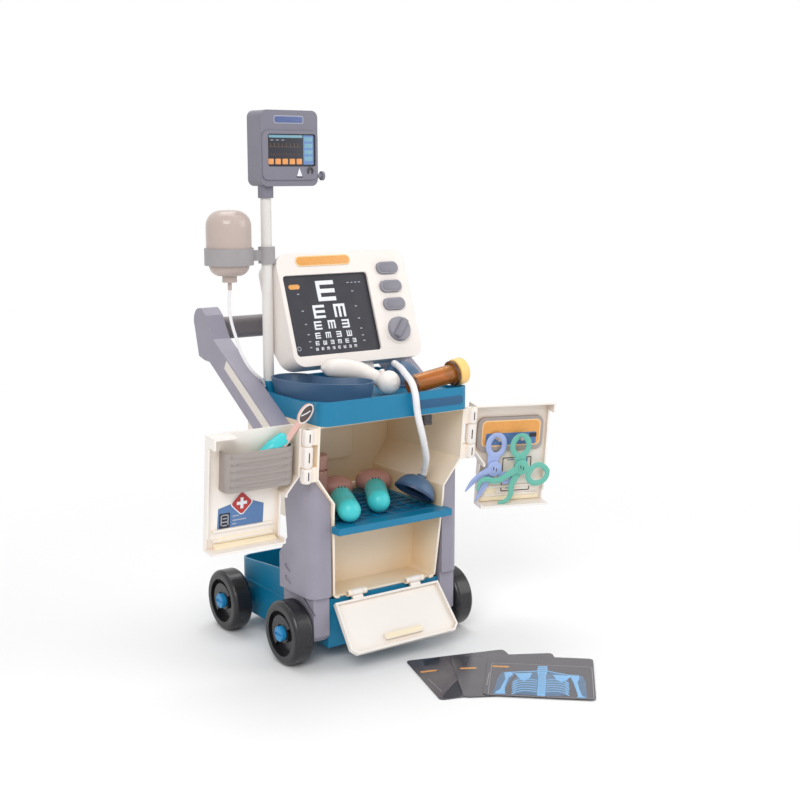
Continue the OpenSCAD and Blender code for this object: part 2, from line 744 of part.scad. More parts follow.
// Its outline runs round the oval head and then the rounded foot of the handle, which lies along -x.
module hand_mirror() {
    reach = mirror_head - mirror_foot;
    outline = concat(
        [for (a = [-160:16:160]) [14 * cos(a), 8.5 * sin(a)]],
        [for (a = [110:20:250]) [4 * cos(a) - norm(reach), 4 * sin(a)]]);
    glass = [for (a = [0:15:345]) [12 * cos(a), 6.5 * sin(a)]];
    color([0.8, 0.58, 0.55]) on_door(-1) mirror([1, 0, 0]) difference() {
        along_y(mirror_y, mirror_y + 3.4) at_head(reach) polygon(outline);
        along_y(mirror_y - 1, mirror_y + 1) at_head(reach) polygon(glass);
    }
}

module at_head(reach) {
    translate(mirror_head) rotate(atan2(reach[1], reach[0])) children();
}

syringe_d = 9;
syringe_collar_d = syringe_d + 2.4;
syringe_y = panel_y - syringe_collar_d / 2 - fit;   // it leans on the door's panel

module syringe() {
    a = [-17, syringe_y, -10];
    b = [-82, syringe_y, -58];
    l = norm(b - a);
    color([0.27, 0.78, 0.78]) on_door(-1) aim(a, b) union() {
        translate([0, 0, 5]) sphere(d = syringe_d + 2);
        translate([0, 0, 5]) cylinder(h = l - 20, d = syringe_d);
        translate([0, 0, l - 20]) cylinder(h = 14, d = 5);
        translate([0, 0, 26]) cylinder(h = 3, d = syringe_collar_d);
    }
}

// ---- Tray, handle and pole ----

tray_top = cab_top + tray_h;
tray_floor = tray_top - tray_sink;
side_rim = tray_top - 4.5;

module tray_plan(inset) {
    r = 15 - inset;
    x = tray_half - inset;
    polygon(mirrored(concat(arc(x - r, tray_front_y + inset + r, r, -90, 0, 8),
        arc(x - 6, tray_rear_y - inset - 6, 6, 0, 90, 6))));
}

pole_at = [-95, 10];
socket_h = 14;
nipple_at = [-107.5, 0];

module tray() {
    color([0.1, 0.53, 0.71]) cart() difference() {
        union() {
            difference() {
                intersection() {
                    translate([0, 0, cab_top]) linear_extrude(tray_h) tray_plan(0);
                    along_x(-tray_half, tray_half) polygon([[tray_front_y - 1, cab_top], [tray_rear_y + 1, cab_top],
                        [tray_rear_y + 1, tray_top], [tray_rear_y - 12, tray_top], [tray_rear_y - 20, side_rim],
                        [tray_front_y + 44, side_rim], [tray_front_y + 14, tray_top], [tray_front_y - 1, tray_top]]);
                }
                translate([0, 0, tray_floor]) linear_extrude(tray_h) tray_plan(wall);
                translate([0, 0, cab_top - 1]) linear_extrude(tray_floor - wall - cab_top + 1) tray_plan(wall);
            }
            translate([pole_at[0], pole_at[1], tray_floor - tiny]) cylinder(h = socket_h, d = pole_d + 9);
            translate([nipple_at[0], nipple_at[1], tray_floor - tiny]) cylinder(h = 8, d = 7);
        }
        translate([pole_at[0], pole_at[1], tray_floor]) cylinder(h = socket_h + 1, d = pole_d);
        translate([nipple_at[0], nipple_at[1], tray_floor + 1]) cylinder(h = 8, d = tube_d + 0.4);
    }
}

bar_at = [112, 414];

// Side outline of a handle arm as (y, z).
module arm_side() {
    polygon(concat([[-92, 297], [-30, 297], [91, 372], [106, 373], [122, 377]],
        arc(117, 425, 18, -30, 110, 8), [[100, 434], [80, 404], [-96, 299]]));
}

module handle_arm() {
    difference() {
        along_x(cab_top_half, cab_top_half + arm_t) arm_side();
        translate([0, bar_at[0], bar_at[1]]) rod_x(cab_top_half - 1, cab_top_half + 12, 12);
        arm_screw_bores(2.6);
    }
}

module right_handle_arm() {
    color([0.57, 0.56, 0.62]) cart() handle_arm();
}

module left_handle_arm() {
    color([0.57, 0.56, 0.62]) cart() mirror([1, 0, 0]) handle_arm();
}

module handle_bar() {
    color([0.46, 0.44, 0.45]) cart() translate([0, bar_at[0], bar_at[1]]) union() {
        along_x(-cab_top_half, cab_top_half) round_rect(bar_d, bar_h, 9);
        rod_x(-cab_top_half - 11, cab_top_half + 11, 12);
    }
}

screw_y = [-78, -46];
screw_z = 306;

module arm_screw_bores(d) {
    for (s = [-1, 1], y = screw_y) translate([0, y, screw_z]) rotate([0, s * 90, 0])
        translate([0, 0, cab_top_half - wall - 1]) cylinder(h = 14 + wall, d = d);
}

module arm_screws() {
    color([0.7, 0.71, 0.73]) cart() for (s = [-1, 1], y = screw_y) translate([0, y, screw_z]) rotate([0, s * 90, 0]) union() {
        translate([0, 0, cab_top_half - wall - 2.4]) cylinder(h = 2.4, d = 7);
        translate([0, 0, cab_top_half - wall - tiny]) cylinder(h = wall + 11, d = 2.6);
    }
}

module pole() {
    color([0.87, 0.85, 0.84]) cart() translate([pole_at[0], pole_at[1], tray_floor]) cylinder(h = pole_l, d = pole_d);
}

// ---- Monitor ----

mon_z = tray_floor + pole_l;
mon_x = [pole_at[0] - 15, pole_at[0] - 15 + mon_w];
mon_y = [pole_at[1] - 19, pole_at[1] - 19 + mon_d];
mon_split = mon_y[0] + 8;
sleeve_d = pole_d + 6;

// Front outline of the monitor as (x, z): its lower right part hangs lower.
module monitor_outline(inset) {
    translate([(mon_x[0] + mon_x[1]) / 2, mon_z + mon_h / 2 + 1]) round_rect(mon_w - 2 * inset, mon_h - 2 * inset, 9 - inset);
}

module monitor_front() {
    screen = [71, 41];
    color([0.55, 0.54, 0.59]) cart() difference() {
        union() {
            along_y(mon_y[0] + 2, mon_split) monitor_outline(0);
            along_y(mon_y[0], mon_y[0] + 2 + tiny) translate([(mon_x[0] + mon_x[1]) / 2, mon_z + 40])
                round_rect(mon_w - 2, 62, 8);
        }
        along_y(mon_y[0] - 1, mon_y[0] + 3) translate([mon_x[0] + 9 + screen[0] / 2, mon_z + 26 + screen[1] / 2])
            round_rect(screen[0], screen[1], 3);
        // three-cornered hole in the lower edge
        along_y(mon_y[0] - 1, mon_split + 1) polygon([[-60, mon_z + 12], [-50, mon_z + 12], [-55, mon_z + 23]]);
    }
}

module monitor_rear() {
    color([0.55, 0.54, 0.59]) cart() difference() {
        union() {
            difference() {
                along_y(mon_split, mon_y[1]) monitor_outline(0);
                along_y(mon_split - 1, mon_y[1] - 2.5) monitor_outline(2.5);
            }
            translate([pole_at[0], pole_at[1], mon_z - 14]) cylinder(h = 40, d = sleeve_d);
        }
        translate([pole_at[0], pole_at[1], mon_z - 15]) cylinder(h = 15 + fit, d = pole_d + 2 * pin_fit);
    }
}

module monitor_peg() {
    z = mon_z + 14;
    y = mon_y[0] + 4;
    color([0.5, 0.5, 0.56]) cart() translate([mon_x[1], y, z]) union() {
        rod_x(0, 6, 6);
        rod_x(6 - tiny, 9, 12);
    }
}

// ---- Drip bottle ----

drip_at = [pole_at[0] - drip_reach, pole_at[1]];
ring_z = [508, 529.5];
drip_neck_d = drip_d - 6;

module drip_bracket() {
    gap = 0.3;
    color([0.65, 0.63, 0.65]) cart() difference() {
        union() {
            translate([pole_at[0], pole_at[1], ring_z[0]]) cylinder(h = ring_z[1] - ring_z[0], d = pole_d + 8);
            translate([drip_at[0], drip_at[1], ring_z[0]]) cylinder(h = ring_z[1] - ring_z[0], d = drip_d + 5, $fn = 96);
            block([drip_at[0], pole_at[1] - 4, ring_z[0] + 4], [pole_at[0], pole_at[1] + 4, ring_z[1] - 4]);
        }
        translate([pole_at[0], pole_at[1], ring_z[0] - 1]) cylinder(h = 30, d = pole_d);
        translate([drip_at[0], drip_at[1], ring_z[0] - 1]) cylinder(h = 30, d = drip_neck_d + 2 * gap);
    }
}

// A hollow bottle of revolution: round shoulders, a step that sits on the ring, and a nozzle.
module drip_bottle() {
    r = drip_d / 2;
    n = drip_neck_d / 2;
    t = 1.6;
    top = ring_z[1] + drip_up;
    low = ring_z[0] - 14;
    dome = 20;
    color([0.78, 0.73, 0.69, 0.8]) cart() translate([drip_at[0], drip_at[1], 0]) difference() {
        rotate_extrude($fn = 96) polygon(concat([[0, low - 18], [2.6, low - 18], [2.6, low - 8], [9.5, low - 8],
            [9.5, low + 1]], arc(n - 14, low + 14, 14, -70, 0, 6), [[n, ring_z[1]], [r, ring_z[1]]],
            arc(r - dome, top - dome, dome, 0, 90, 8), [[0, top]]));
        rotate_extrude($fn = 96) polygon(concat([[0, low + t]], arc(n - 14, low + 14, 14 - t, -60, 0, 6),
            [[n - t, ring_z[1] + t], [r - t, ring_z[1] + t]],
            arc(r - dome, top - dome, dome - t, 0, 90, 8), [[0, top - t]]));
    }
}

drip_path = [[-150, 10, 476], [-151, 10, 468], [-152, 9, 456], [-152, 7, 444], [-150, 5, 430], [-146, 3, 414],
    [-143, 0, 400], [-138, -3, 387], [-132, -5, 376], [-125, -5, 368], [-118, -4, 362], [-113, -2, 358],
    [-109, -1, 353], [-107.5, 0, 349], [-107.5, 0, 345], [-107.5, 0, 341]];

module drip_tube() {
    color([0.92, 0.92, 0.92]) cart() cord(drip_path, tube_d);
}

// ---- Viewer ----

view_at = [16, -45, 376];                       // middle of its front lower edge
bezel_t = 12;
window = [132, 109];
window_at = [-29.6, 68.4];                      // middle of the window from the middle of the lower edge
label_at = [-30, 0, 141];
label_size = [86, 14.4];
slot_t = 1.8;
slot_y = 3.4;
key_x = 70;
key_z = [126, 100, 75];
key_size = [34, 16.5];
knob_at = [69, 39.4];
knob_d = 28;
key_fit = 0.3;
key_back = 9.4;                                 // inner face that the keys' flanges lie behind

// Draws in the viewer's own frame: x across, y back from the front face, z up the slant.
module in_viewer() {
    cart() translate(view_at) rotate([-view_tilt, 0, 0]) children();
}

// The viewer's body between two depths, inset from its outside.
module viewer_body(y0, y1, inset) {
    intersection() {
        along_y(y0, y1) translate([0, view_h / 2]) round_rect(view_w - 2 * inset, view_h - 2 * inset, 16 - inset);
        along_x(-view_w, view_w) polygon([[-1, -1], [30, -1], [34 - inset, 3 + inset], [view_d + 2 - inset, 36 + inset],
            [view_d - inset, view_h - 8], [view_d - 6 - inset, view_h + 1], [-1, view_h + 1]]);
    }
}

module viewer_bezel() {
    color([0.94, 0.91, 0.89]) in_viewer() difference() {
        union() {
            viewer_body(0, bezel_t, 0);
            translate(label_at) along_y(-1.2, tiny) round_rect(label_size[0], label_size[1], 7);
        }
        along_y(-2, slot_y + 1) translate(window_at) round_rect(window[0], window[1], 5);
        // slot that the film stands in, open at the top
        block([window_at[0] - film_w / 2 - 0.4, slot_y, window_at[1] - window[1] / 2 - 4],
            [window_at[0] + film_w / 2 + 0.4, slot_y + slot_t, view_h + 1]);
        // room behind for the panel and the keys
        block([window_at[0] - window[0] / 2, slot_y + slot_t + 1.2, window_at[1] - window[1] / 2],
            [window_at[0] + window[0] / 2, bezel_t + 1, window_at[1] + window[1] / 2]);
        block([key_x - 20, key_back, 18], [key_x + 20, bezel_t + 1, 138]);
        for (z = key_z) along_y(-1, bezel_t) translate([key_x, z]) round_rect(key_size[0] + 2 * key_fit, key_size[1] + 2 * key_fit, 8.4);
        translate([knob_at[0], 0, knob_at[1]]) rod_y(-1, bezel_t, 8 + 2 * pin_fit);
    }
}

module viewer_rear() {
    color([0.94, 0.91, 0.89]) in_viewer() difference() {
        viewer_body(bezel_t, view_d + 5, 0);
        viewer_body(bezel_t - 1, view_d + 2, wall);
        along_y(view_d - 8, view_d + 6) translate([0, 80]) round_rect(70, 42, 4);
    }
}

// The lit panel behind the film.
module viewer_panel() {
    y0 = slot_y + slot_t + 1.2;
    color([0.96, 0.97, 1]) in_viewer() along_y(y0, y0 + 2.5) translate(window_at)
        round_rect(window[0] - 0.4, window[1] - 0.4, 4);
}

module battery_cover() {
    color([0.9, 0.87, 0.85]) in_viewer() intersection() {
        viewer_body(view_d - 12, view_d + 5, 0);
        along_y(view_d - 8, view_d + 6) translate([0, 80]) round_rect(69.6, 41.6, 4);
        along_x(-60, 60) polygon([[view_d - 1.4, 30], [view_d + 4, 30], [view_d + 4, 130], [view_d - 3.2, 130]]);
    }
}

module viewer_foot() {
    color([0.9, 0.87, 0.85]) cart() difference() {
        translate(view_at) rotate([-view_tilt, 0, 0]) block([4, 12, -60], [26, 28, 0]);
        block([-100, -100, tray_floor - 100], [100, 100, tray_floor]);
    }
}

module chart_film() {
    color([0.18, 0.19, 0.24]) in_viewer() along_y(slot_y + 0.5, slot_y + 0.5 + film_t)
        translate([window_at[0], window_at[1] - window[1] / 2 - 3.8 + film_l / 2]) round_rect(film_w, film_l, 6);
}

// An oval key: its flange lies behind the bezel.
module key(z) {
    color([0.55, 0.54, 0.58]) in_viewer() translate([key_x, 0, z]) union() {
        along_y(-4, key_back + 0.4 + tiny) round_rect(key_size[0], key_size[1], 8.1);
        along_y(key_back + 0.4, key_back + 2) round_rect(key_size[0] + 3.6, key_size[1] + 3.6, 9);
    }
}

module viewer_knob() {
    color([0.5, 0.49, 0.53]) in_viewer() translate([knob_at[0], 0, knob_at[1]]) union() {
        rod_y(-7, -0.4, knob_d);
        rod_y(-0.5, key_back + 2, 8);
        rod_y(key_back + 0.4, key_back + 2, 14);
        block([-3.5, -12, -knob_d / 2 + 2], [3.5, -7 + tiny, knob_d / 2 - 2]);
    }
}

// ---- Things on the tray ----

dish_mid = [-73, -75.5];
dish_turn = -62;                                // direction of its long axis
dish_bend_r = 80;
dish_half_angle = 34;
dish_half_w = 28;
dish_h = 23;

function dish_profile(side) = let (w = dish_half_w) side == 0
    ? [[-w + 5, 0], [w - 5, 0], [w, dish_h], [w - 2.2, dish_h], [w - 6.8, 2.2], [-w + 6.8, 2.2], [-w + 2.2, dish_h], [-w, dish_h]]
    : [[0, 0], [w - 5, 0], [w, dish_h], [w - 2.2, dish_h], [w - 6.8, 2.2], [0, 2.2]];

// A bean-shaped dish, hollow side towards the left front.
module kidney_dish() {
    color([0.27, 0.38, 0.54]) cart() translate([dish_mid[0], dish_mid[1], tray_floor]) rotate([0, 0, dish_turn - 90])
        translate([-dish_bend_r, 0, 0]) union() {
            rotate([0, 0, -dish_half_angle]) rotate_extrude(angle = 2 * dish_half_angle, $fn = 96)
                translate([dish_bend_r, 0]) polygon(dish_profile(0));
            for (s = [-1, 1]) rotate([0, 0, s * dish_half_angle]) translate([dish_bend_r, 0, 0])
                rotate([0, 0, s > 0 ? 0 : 180]) rotate_extrude(angle = 180, $fn = 64) polygon(dish_profile(1));
        }
}

// A smooth body of revolution between two radii, for handles and heads.
function bulge(l, r, tail) = [for (i = [0:16]) let (t = i / 16)
    [max(r * pow(sin(180 * pow(t, 0.85)), 0.62) * (1 - tail * t), 0), l * t]];

module probe() {
    color([0.94, 0.92, 0.92]) cart() union() {
        aim([-50, -43, 370], [16, -82, 360]) rotate_extrude() polygon(concat([[0, 0]], bulge(80, 12, 0.3)));
        aim([0, -73, 362], [12, -112, 356.5]) cylinder(h = 34, r = 7);
        translate([11, -115, 356.3]) sphere(16);
        translate([8, -104, 371]) sphere(4);
    }
}

bulb_at = [76, -52];

module bulb() {
    r = 28;
    color([0.27, 0.38, 0.54]) cart() translate([bulb_at[0], bulb_at[1], tray_floor]) union() {
        difference() {
            rotate_extrude() polygon(concat([[0, 0], [r + 2, 0], [r + 2, 3], [r, 4]],
                [for (i = [1:10]) [r * cos(9 * i), 4 + 28 * sin(9 * i)]]));
            rotate_extrude() polygon(concat([[0, 3], [r - 3, 3], [r - 3, 4]],
                [for (i = [1:10]) [(r - 3) * cos(9 * i), 4 + 25 * sin(9 * i)]]));
        }
        aim([-6, -3, 25], [-14, -7, 30]) cylinder(h = 8, d = hose_d + 5);
    }
}

hose_path = [[60, -58, 371], [56, -65, 372], [50, -78, 372], [44, -92, 372], [37, -108, 371], [30, -124, 369],
    [25, -138, 366], [22, -151, 360], [20, -160, 350], [20, -163, 339], [22, -162, 328], [25, -161, 316],
    [30, -159, 303], [36, -155, 291], [43, -149, 279], [51, -141, 267], [59, -132, 256], [66, -122, 246],
    [71, -113, 237], [74, -107, 229], [74, -106, 226]];

module mask_hose() {
    color([0.93, 0.92, 0.94]) cart() cord(hose_path, hose_d);
}

mask_rim = [60, -106, 198.5];
mask_tilt = 25;

module mask() {
    r = 25;
    h = 22;
    color([0.27, 0.38, 0.54]) cart() translate(mask_rim) rotate([0, mask_tilt, 0]) difference() {
        union() {
            rotate_extrude() polygon(concat([[0, 0], [r, 0], [r, 2]],
                [for (i = [1:9]) [(r - 1) * cos(9 * i), 2 + h * sin(9 * i)]], [[0, 2 + h * sin(81)]]));
            cylinder(h = 28, d = hose_d + 4);
        }
        rotate_extrude() polygon(concat([[0, -1], [r - 2.2, -1], [r - 2.2, 2]],
            [for (i = [1:9]) [(r - 3.2) * cos(9 * i), 2 + (h - 2.2) * sin(9 * i)]], [[0, 2 + (h - 2.2) * sin(81)]]));
        translate([0, 0, 10]) cylinder(h = 22, d = 4);
    }
}

amber_from = [34, -131, 353.2];
amber_to = [121, -131, 366];

module amber_bottle() {
    color([0.7, 0.45, 0.18, 0.8]) cart() aim(amber_from, amber_to) difference() {
        union() {
            cylinder(h = 66, d = amber_d);
            translate([0, 0, 66 - tiny]) cylinder(h = 5, d = amber_d + 6);
            translate([0, 0, 71 - tiny]) cylinder(h = 9, d = amber_d - 4);
        }
        translate([0, 0, 2]) cylinder(h = 80, d = amber_d - 8);
    }
}

module amber_cap() {
    color([0.95, 0.76, 0.42]) cart() aim(amber_from, amber_to) difference() {
        translate([0, 0, 71.4]) cylinder(h = 15, d = amber_d + 7);
        translate([0, 0, 70]) cylinder(h = 10.4, d = amber_d - 4 + 2 * fit);
    }
}

// ---- Things on the shelf ----

tool_z = shelf_top + 0.2 + max(tool_d / 2, 16);
mallet_from = [[-61, -130], [-3, -112]];
mallet_to = [[-9, -15], [56, -12]];

// A round-ended handle, a neck and an egg-shaped head, drawn as (radius, distance).
function mallet_profile(l) = let (r = tool_d / 2, head = 16, head_l = 26, grip = 68)
    concat(arc(0, 0, r, -90, 0, 8), arc(0, grip, r, 0, 66, 6),
        arc_ellipse(l, head, head_l, -68, 90, 14));
function arc_ellipse(cy, rx, ry, from, to, steps) =
    [for (i = [0:steps]) let (a = from + (to - from) * i / steps) [max(rx * cos(a), 0), cy + ry * sin(a)]];

module mallets() {
    for (i = [0, 1]) {
        a = [mallet_from[i][0], mallet_from[i][1], tool_z];
        h = [mallet_to[i][0], mallet_to[i][1], tool_z];
        color([0.27, 0.78, 0.78]) cart() aim(a, h) rotate_extrude() polygon(mallet_profile(norm(h - a)));
    }
}

pill_at = [-46, -30];

module pill_bottle() {
    color([0.6, 0.45, 0.36]) cart() translate([pill_at[0], pill_at[1], shelf_top + 0.2]) union() {
        cylinder(h = 48, d = 28);
        translate([0, 0, 48 - tiny]) cylinder(h = 3, d = 20);
        translate([0, 0, 51 - tiny]) cylinder(h = 18, d = 27);
    }
}

// ---- Films on the floor ----

module film(at, turn, z) {
    translate([at[0], at[1], z]) rotate([0, 0, turn]) linear_extrude(film_t) round_rect(film_w, film_l, 6);
}

module left_film() {
    color([0.42, 0.4, 0.42]) cart() film([41, -258], -17.5, 0);
}

module middle_film() {
    color([0.42, 0.4, 0.42]) cart() film([76, -288], -30, film_t);
}

module right_film() {
    color([0.42, 0.4, 0.42]) cart() film([101, -316.5], -42, 2 * film_t);
}

chassis();
left_leg();
right_leg();
axle(front_axle_y);  // front_axle
axle(rear_axle_y);  // rear_axle
hub_caps();
left_wheel(front_axle_y);  // front_left_wheel
right_wheel(front_axle_y);  // front_right_wheel
left_wheel(rear_axle_y);  // rear_left_wheel
right_wheel(rear_axle_y);  // rear_right_wheel
cabinet_shell();
cabinet_back();
shelf();
door_catch();
flap();
left_door();
right_door();
hinge_pins();
door_pocket();
hanger_plate();
tray();
left_handle_arm();
right_handle_arm();
handle_bar();
arm_screws();
pole();
monitor_rear();
monitor_front();
monitor_peg();
drip_bracket();
drip_bottle();
drip_tube();
viewer_rear();
viewer_bezel();
viewer_panel();
viewer_foot();
battery_cover();
chart_film();
key(key_z[0]);  // upper_button
key(key_z[1]);  // middle_button
key(key_z[2]);  // lower_button
viewer_knob();
scissors_fixed_half();
scissors_free_half();
forceps_fixed_half();
forceps_free_half();
hand_mirror();
syringe();
kidney_dish();
probe();
amber_bottle();
amber_cap();
bulb();
mask_hose();
mask();
mallets();
pill_bottle();
left_film();
middle_film();
right_film();
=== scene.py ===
"""Looks of a toy doctor's trolley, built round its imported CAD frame.

Sizes are millimetres in the cart's own frame, as in the part's source, until a place matrix
turns them into the frame's metres. The cart faces -Y and stands on the floor.
"""

import math

import bpy
from mathutils import Matrix, Vector


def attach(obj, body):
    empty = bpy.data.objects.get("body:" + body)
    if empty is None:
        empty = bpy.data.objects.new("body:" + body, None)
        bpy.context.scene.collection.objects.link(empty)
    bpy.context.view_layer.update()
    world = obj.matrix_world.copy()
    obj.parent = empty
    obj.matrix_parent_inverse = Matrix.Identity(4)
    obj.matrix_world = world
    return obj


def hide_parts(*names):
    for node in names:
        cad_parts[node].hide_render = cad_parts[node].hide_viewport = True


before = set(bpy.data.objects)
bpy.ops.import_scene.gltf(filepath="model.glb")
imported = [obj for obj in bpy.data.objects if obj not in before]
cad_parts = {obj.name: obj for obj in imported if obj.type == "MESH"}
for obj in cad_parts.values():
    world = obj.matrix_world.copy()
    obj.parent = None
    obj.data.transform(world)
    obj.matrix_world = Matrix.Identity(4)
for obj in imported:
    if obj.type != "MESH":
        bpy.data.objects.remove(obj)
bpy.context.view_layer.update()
bpy.ops.object.select_all(action="DESELECT")

# ---- Places on the trolley ----

MM = 0.001
LEAN = math.radians(5.3)
HINGE_X = 128
HINGE_Z = 317
HINGE_Y = -123 - (HINGE_Z - 89) * math.tan(LEAN) + 2.6
RIGHT_OPENING = 165
DOOR_PANEL_Y = 23.5
HANGER_Y = 19.5
MONITOR_FRONT_Y = -9
ARM_OUT = 140
LEG_OUT = 112
TRAY_FRONT_Y = -154
SHELF_TOOL_Z = 201.2
MIRROR_FACE_Y = 6.2
PRINT_EDGE = 0.03
CHART_EDGE = 0.02


def moved(x, y, z):
    return Matrix.Translation((x, y, z))


def turned(degrees, axis):
    return Matrix.Rotation(math.radians(degrees), 4, axis)


CART = moved(-1 * MM, 137 * MM, 0) @ Matrix.Scale(MM, 4)
LEANING = Matrix.Rotation(LEAN, 4, "X")
LEFT_DOOR = CART @ moved(-HINGE_X, HINGE_Y, HINGE_Z) @ LEANING
RIGHT_DOOR = CART @ moved(HINGE_X, HINGE_Y, HINGE_Z) @ LEANING @ turned(RIGHT_OPENING - 180, "Z")
VIEWER = CART @ moved(16, -45, 376) @ turned(-20, "X")
FLAP = CART @ moved(0, -123, 89) @ turned(5.3 + 135, "X")

# A flat piece is drawn across u and v and gains its thickness along w.
TO_FRONT = Matrix(((1, 0, 0, 0), (0, 0, -1, 0), (0, 1, 0, 0), (0, 0, 0, 1)))
TO_BACK = Matrix(((-1, 0, 0, 0), (0, 0, 1, 0), (0, 1, 0, 0), (0, 0, 0, 1)))
TO_LEFT = Matrix(((0, 0, -1, 0), (-1, 0, 0, 0), (0, 1, 0, 0), (0, 0, 0, 1)))


def aimed(place, start, end):
    """A place at start whose w points at end."""
    start, end = Vector(start), Vector(end)
    turn = (end - start).to_track_quat("Z", "Y").to_matrix().to_4x4()
    return place @ moved(*start) @ turn


def front_of(place, depth, u=0, v=0, turn=0):
    """A place on a surface that faces -Y of the given place, at the depth of that surface."""
    return place @ moved(u, depth, v) @ TO_FRONT @ turned(turn, "Z")


# ---- Camera, light and floor ----


def add_camera():
    """The photograph's view: from the front left, a little above the tray."""
    bpy.ops.object.camera_add(
        location=(-0.9515, -1.3572, 0.6313),
        rotation=(math.radians(90 - 10.02), 0, math.radians(-35.38)),
    )
    camera = bpy.context.object
    camera.data.sensor_width = 36
    camera.data.lens = 59.33
    bpy.context.scene.camera = camera


def add_lamp(name, place, aim, size, power, warmth=(1, 1, 1)):
    bpy.ops.object.light_add(type="AREA", location=place)
    lamp = bpy.context.object
    lamp.name = name
    lamp.data.size = size
    lamp.data.energy = power
    lamp.data.color = warmth
    lamp.rotation_euler = (Vector(aim) - Vector(place)).to_track_quat("-Z", "Y").to_euler()


def is_seen(tree):
    """1 for rays that should see the plain white studio: camera, glossy and transmission rays."""
    path = tree.nodes.new("ShaderNodeLightPath")
    total = path.outputs["Is Camera Ray"]
    for ray in ("Is Glossy Ray", "Is Transmission Ray"):
        both = tree.nodes.new("ShaderNodeMath")
        both.operation = "MAXIMUM"
        tree.links.new(total, both.inputs[0])
        tree.links.new(path.outputs[ray], both.inputs[1])
        total = both.outputs["Value"]
    return total


def light_world():
    world = bpy.data.worlds.new("studio")
    bpy.context.scene.world = world
    world.use_nodes = True
    tree = world.node_tree
    strength = tree.nodes.new("ShaderNodeMapRange")
    strength.inputs["To Min"].default_value = 0.52
    strength.inputs["To Max"].default_value = 1.0
    tree.links.new(is_seen(tree), strength.inputs["Value"])
    background = tree.nodes["Background"]
    background.inputs["Color"].default_value = (1, 1, 1, 1)
    tree.links.new(strength.outputs["Result"], background.inputs["Strength"])


def add_floor():
    """A pale floor that keeps the shadow close to the trolley and fades to white around it."""
    bpy.ops.mesh.primitive_plane_add(size=30, location=(0, 0, -0.0002))
    floor = bpy.context.object
    floor.name = "studio_floor"
    material = bpy.data.materials.new("studio floor")
    material.use_nodes = True
    tree = material.node_tree
    shader = tree.nodes["Principled BSDF"]
    shader.inputs["Base Color"].default_value = (0.9, 0.9, 0.9, 1)
    shader.inputs["Roughness"].default_value = 0.7
    shader.inputs["Specular IOR Level"].default_value = 0.2
    coordinates = tree.nodes.new("ShaderNodeTexCoord")
    distance = tree.nodes.new("ShaderNodeVectorMath")
    distance.operation = "LENGTH"
    tree.links.new(coordinates.outputs["Object"], distance.inputs[0])
    fade = tree.nodes.new("ShaderNodeMapRange")
    fade.interpolation_type = "SMOOTHSTEP"
    fade.inputs["From Min"].default_value = 0.35
    fade.inputs["From Max"].default_value = 1.1
    tree.links.new(distance.outputs["Value"], fade.inputs["Value"])
    lift = tree.nodes.new("ShaderNodeMath")
    lift.operation = "MULTIPLY"
    tree.links.new(is_seen(tree), lift.inputs[0])
    tree.links.new(fade.outputs["Result"], lift.inputs[1])
    white = tree.nodes.new("ShaderNodeEmission")
    white.inputs["Color"].default_value = (1, 1, 1, 1)
    mixed = tree.nodes.new("ShaderNodeMixShader")
    tree.links.new(lift.outputs["Value"], mixed.inputs["Fac"])
    tree.links.new(shader.outputs["BSDF"], mixed.inputs[1])
    tree.links.new(white.outputs["Emission"], mixed.inputs[2])
    tree.links.new(mixed.outputs["Shader"], tree.nodes["Material Output"].inputs["Surface"])
    floor.data.materials.append(material)


bpy.context.scene.view_settings.view_transform = "Standard"
add_camera()
light_world()
add_floor()
add_lamp("key lamp", (-1.6, -1.7, 1.9), (0, 0, 0.3), 1.5, 38)
add_lamp("fill lamp", (1.9, -1.4, 1.3), (0, 0, 0.3), 1.6, 16)
add_lamp("top lamp", (0.2, 0.6, 2.3), (0, 0, 0.2), 1.6, 22)

# ---- Materials ----


def linear(red, green, blue):
    """A colour written as sRGB from 0 to 255, as the shader's sockets take it."""

    def channel(value):
        share = value / 255
        return share / 12.92 if share <= 0.04045 else ((share + 0.055) / 1.055) ** 2.4

    return (channel(red), channel(green), channel(blue), 1)


def shaded(colour, factor):
    return (*(min(1, part * factor) for part in colour[:3]), 1)


def add_node(tree, kind, links=(), values=(), **settings):
    node = tree.nodes.new("ShaderNode" + kind)
    for name, value in settings.items():
        setattr(node, name, value)
    for name, value in dict(values).items():
        node.inputs[name].default_value = value
    for name, output in dict(links).items():
        tree.links.new(output, node.inputs[name])
    return node


def object_noise(tree, scale, detail=3):
    coordinates = add_node(tree, "TexCoord")
    noise = add_node(
        tree,
        "TexNoise",
        {"Vector": coordinates.outputs["Object"]},
        {"Scale": scale, "Detail": detail},
    )
    return noise.outputs["Fac"]


def blended(tree, factor, first, second):
    """A mix of two colours or colour outputs by a factor output."""
    mix = add_node(tree, "Mix", data_type="RGBA")
    tree.links.new(factor, mix.inputs[0])
    for index, colour in ((6, first), (7, second)):
        if isinstance(colour, bpy.types.NodeSocket):
            tree.links.new(colour, mix.inputs[index])
        else:
            mix.inputs[index].default_value = colour
    return mix.outputs[2]


def ranged(tree, value, low, high, to_low, to_high):
    mapped = add_node(
        tree,
        "MapRange",
        {"Value": value},
        {"From Min": low, "From Max": high, "To Min": to_low, "To Max": to_high},
    )
    return mapped.outputs["Result"]


def new_material(name):
    material = bpy.data.materials.new(name)
    material.use_nodes = True
    return material, material.node_tree, material.node_tree.nodes["Principled BSDF"]


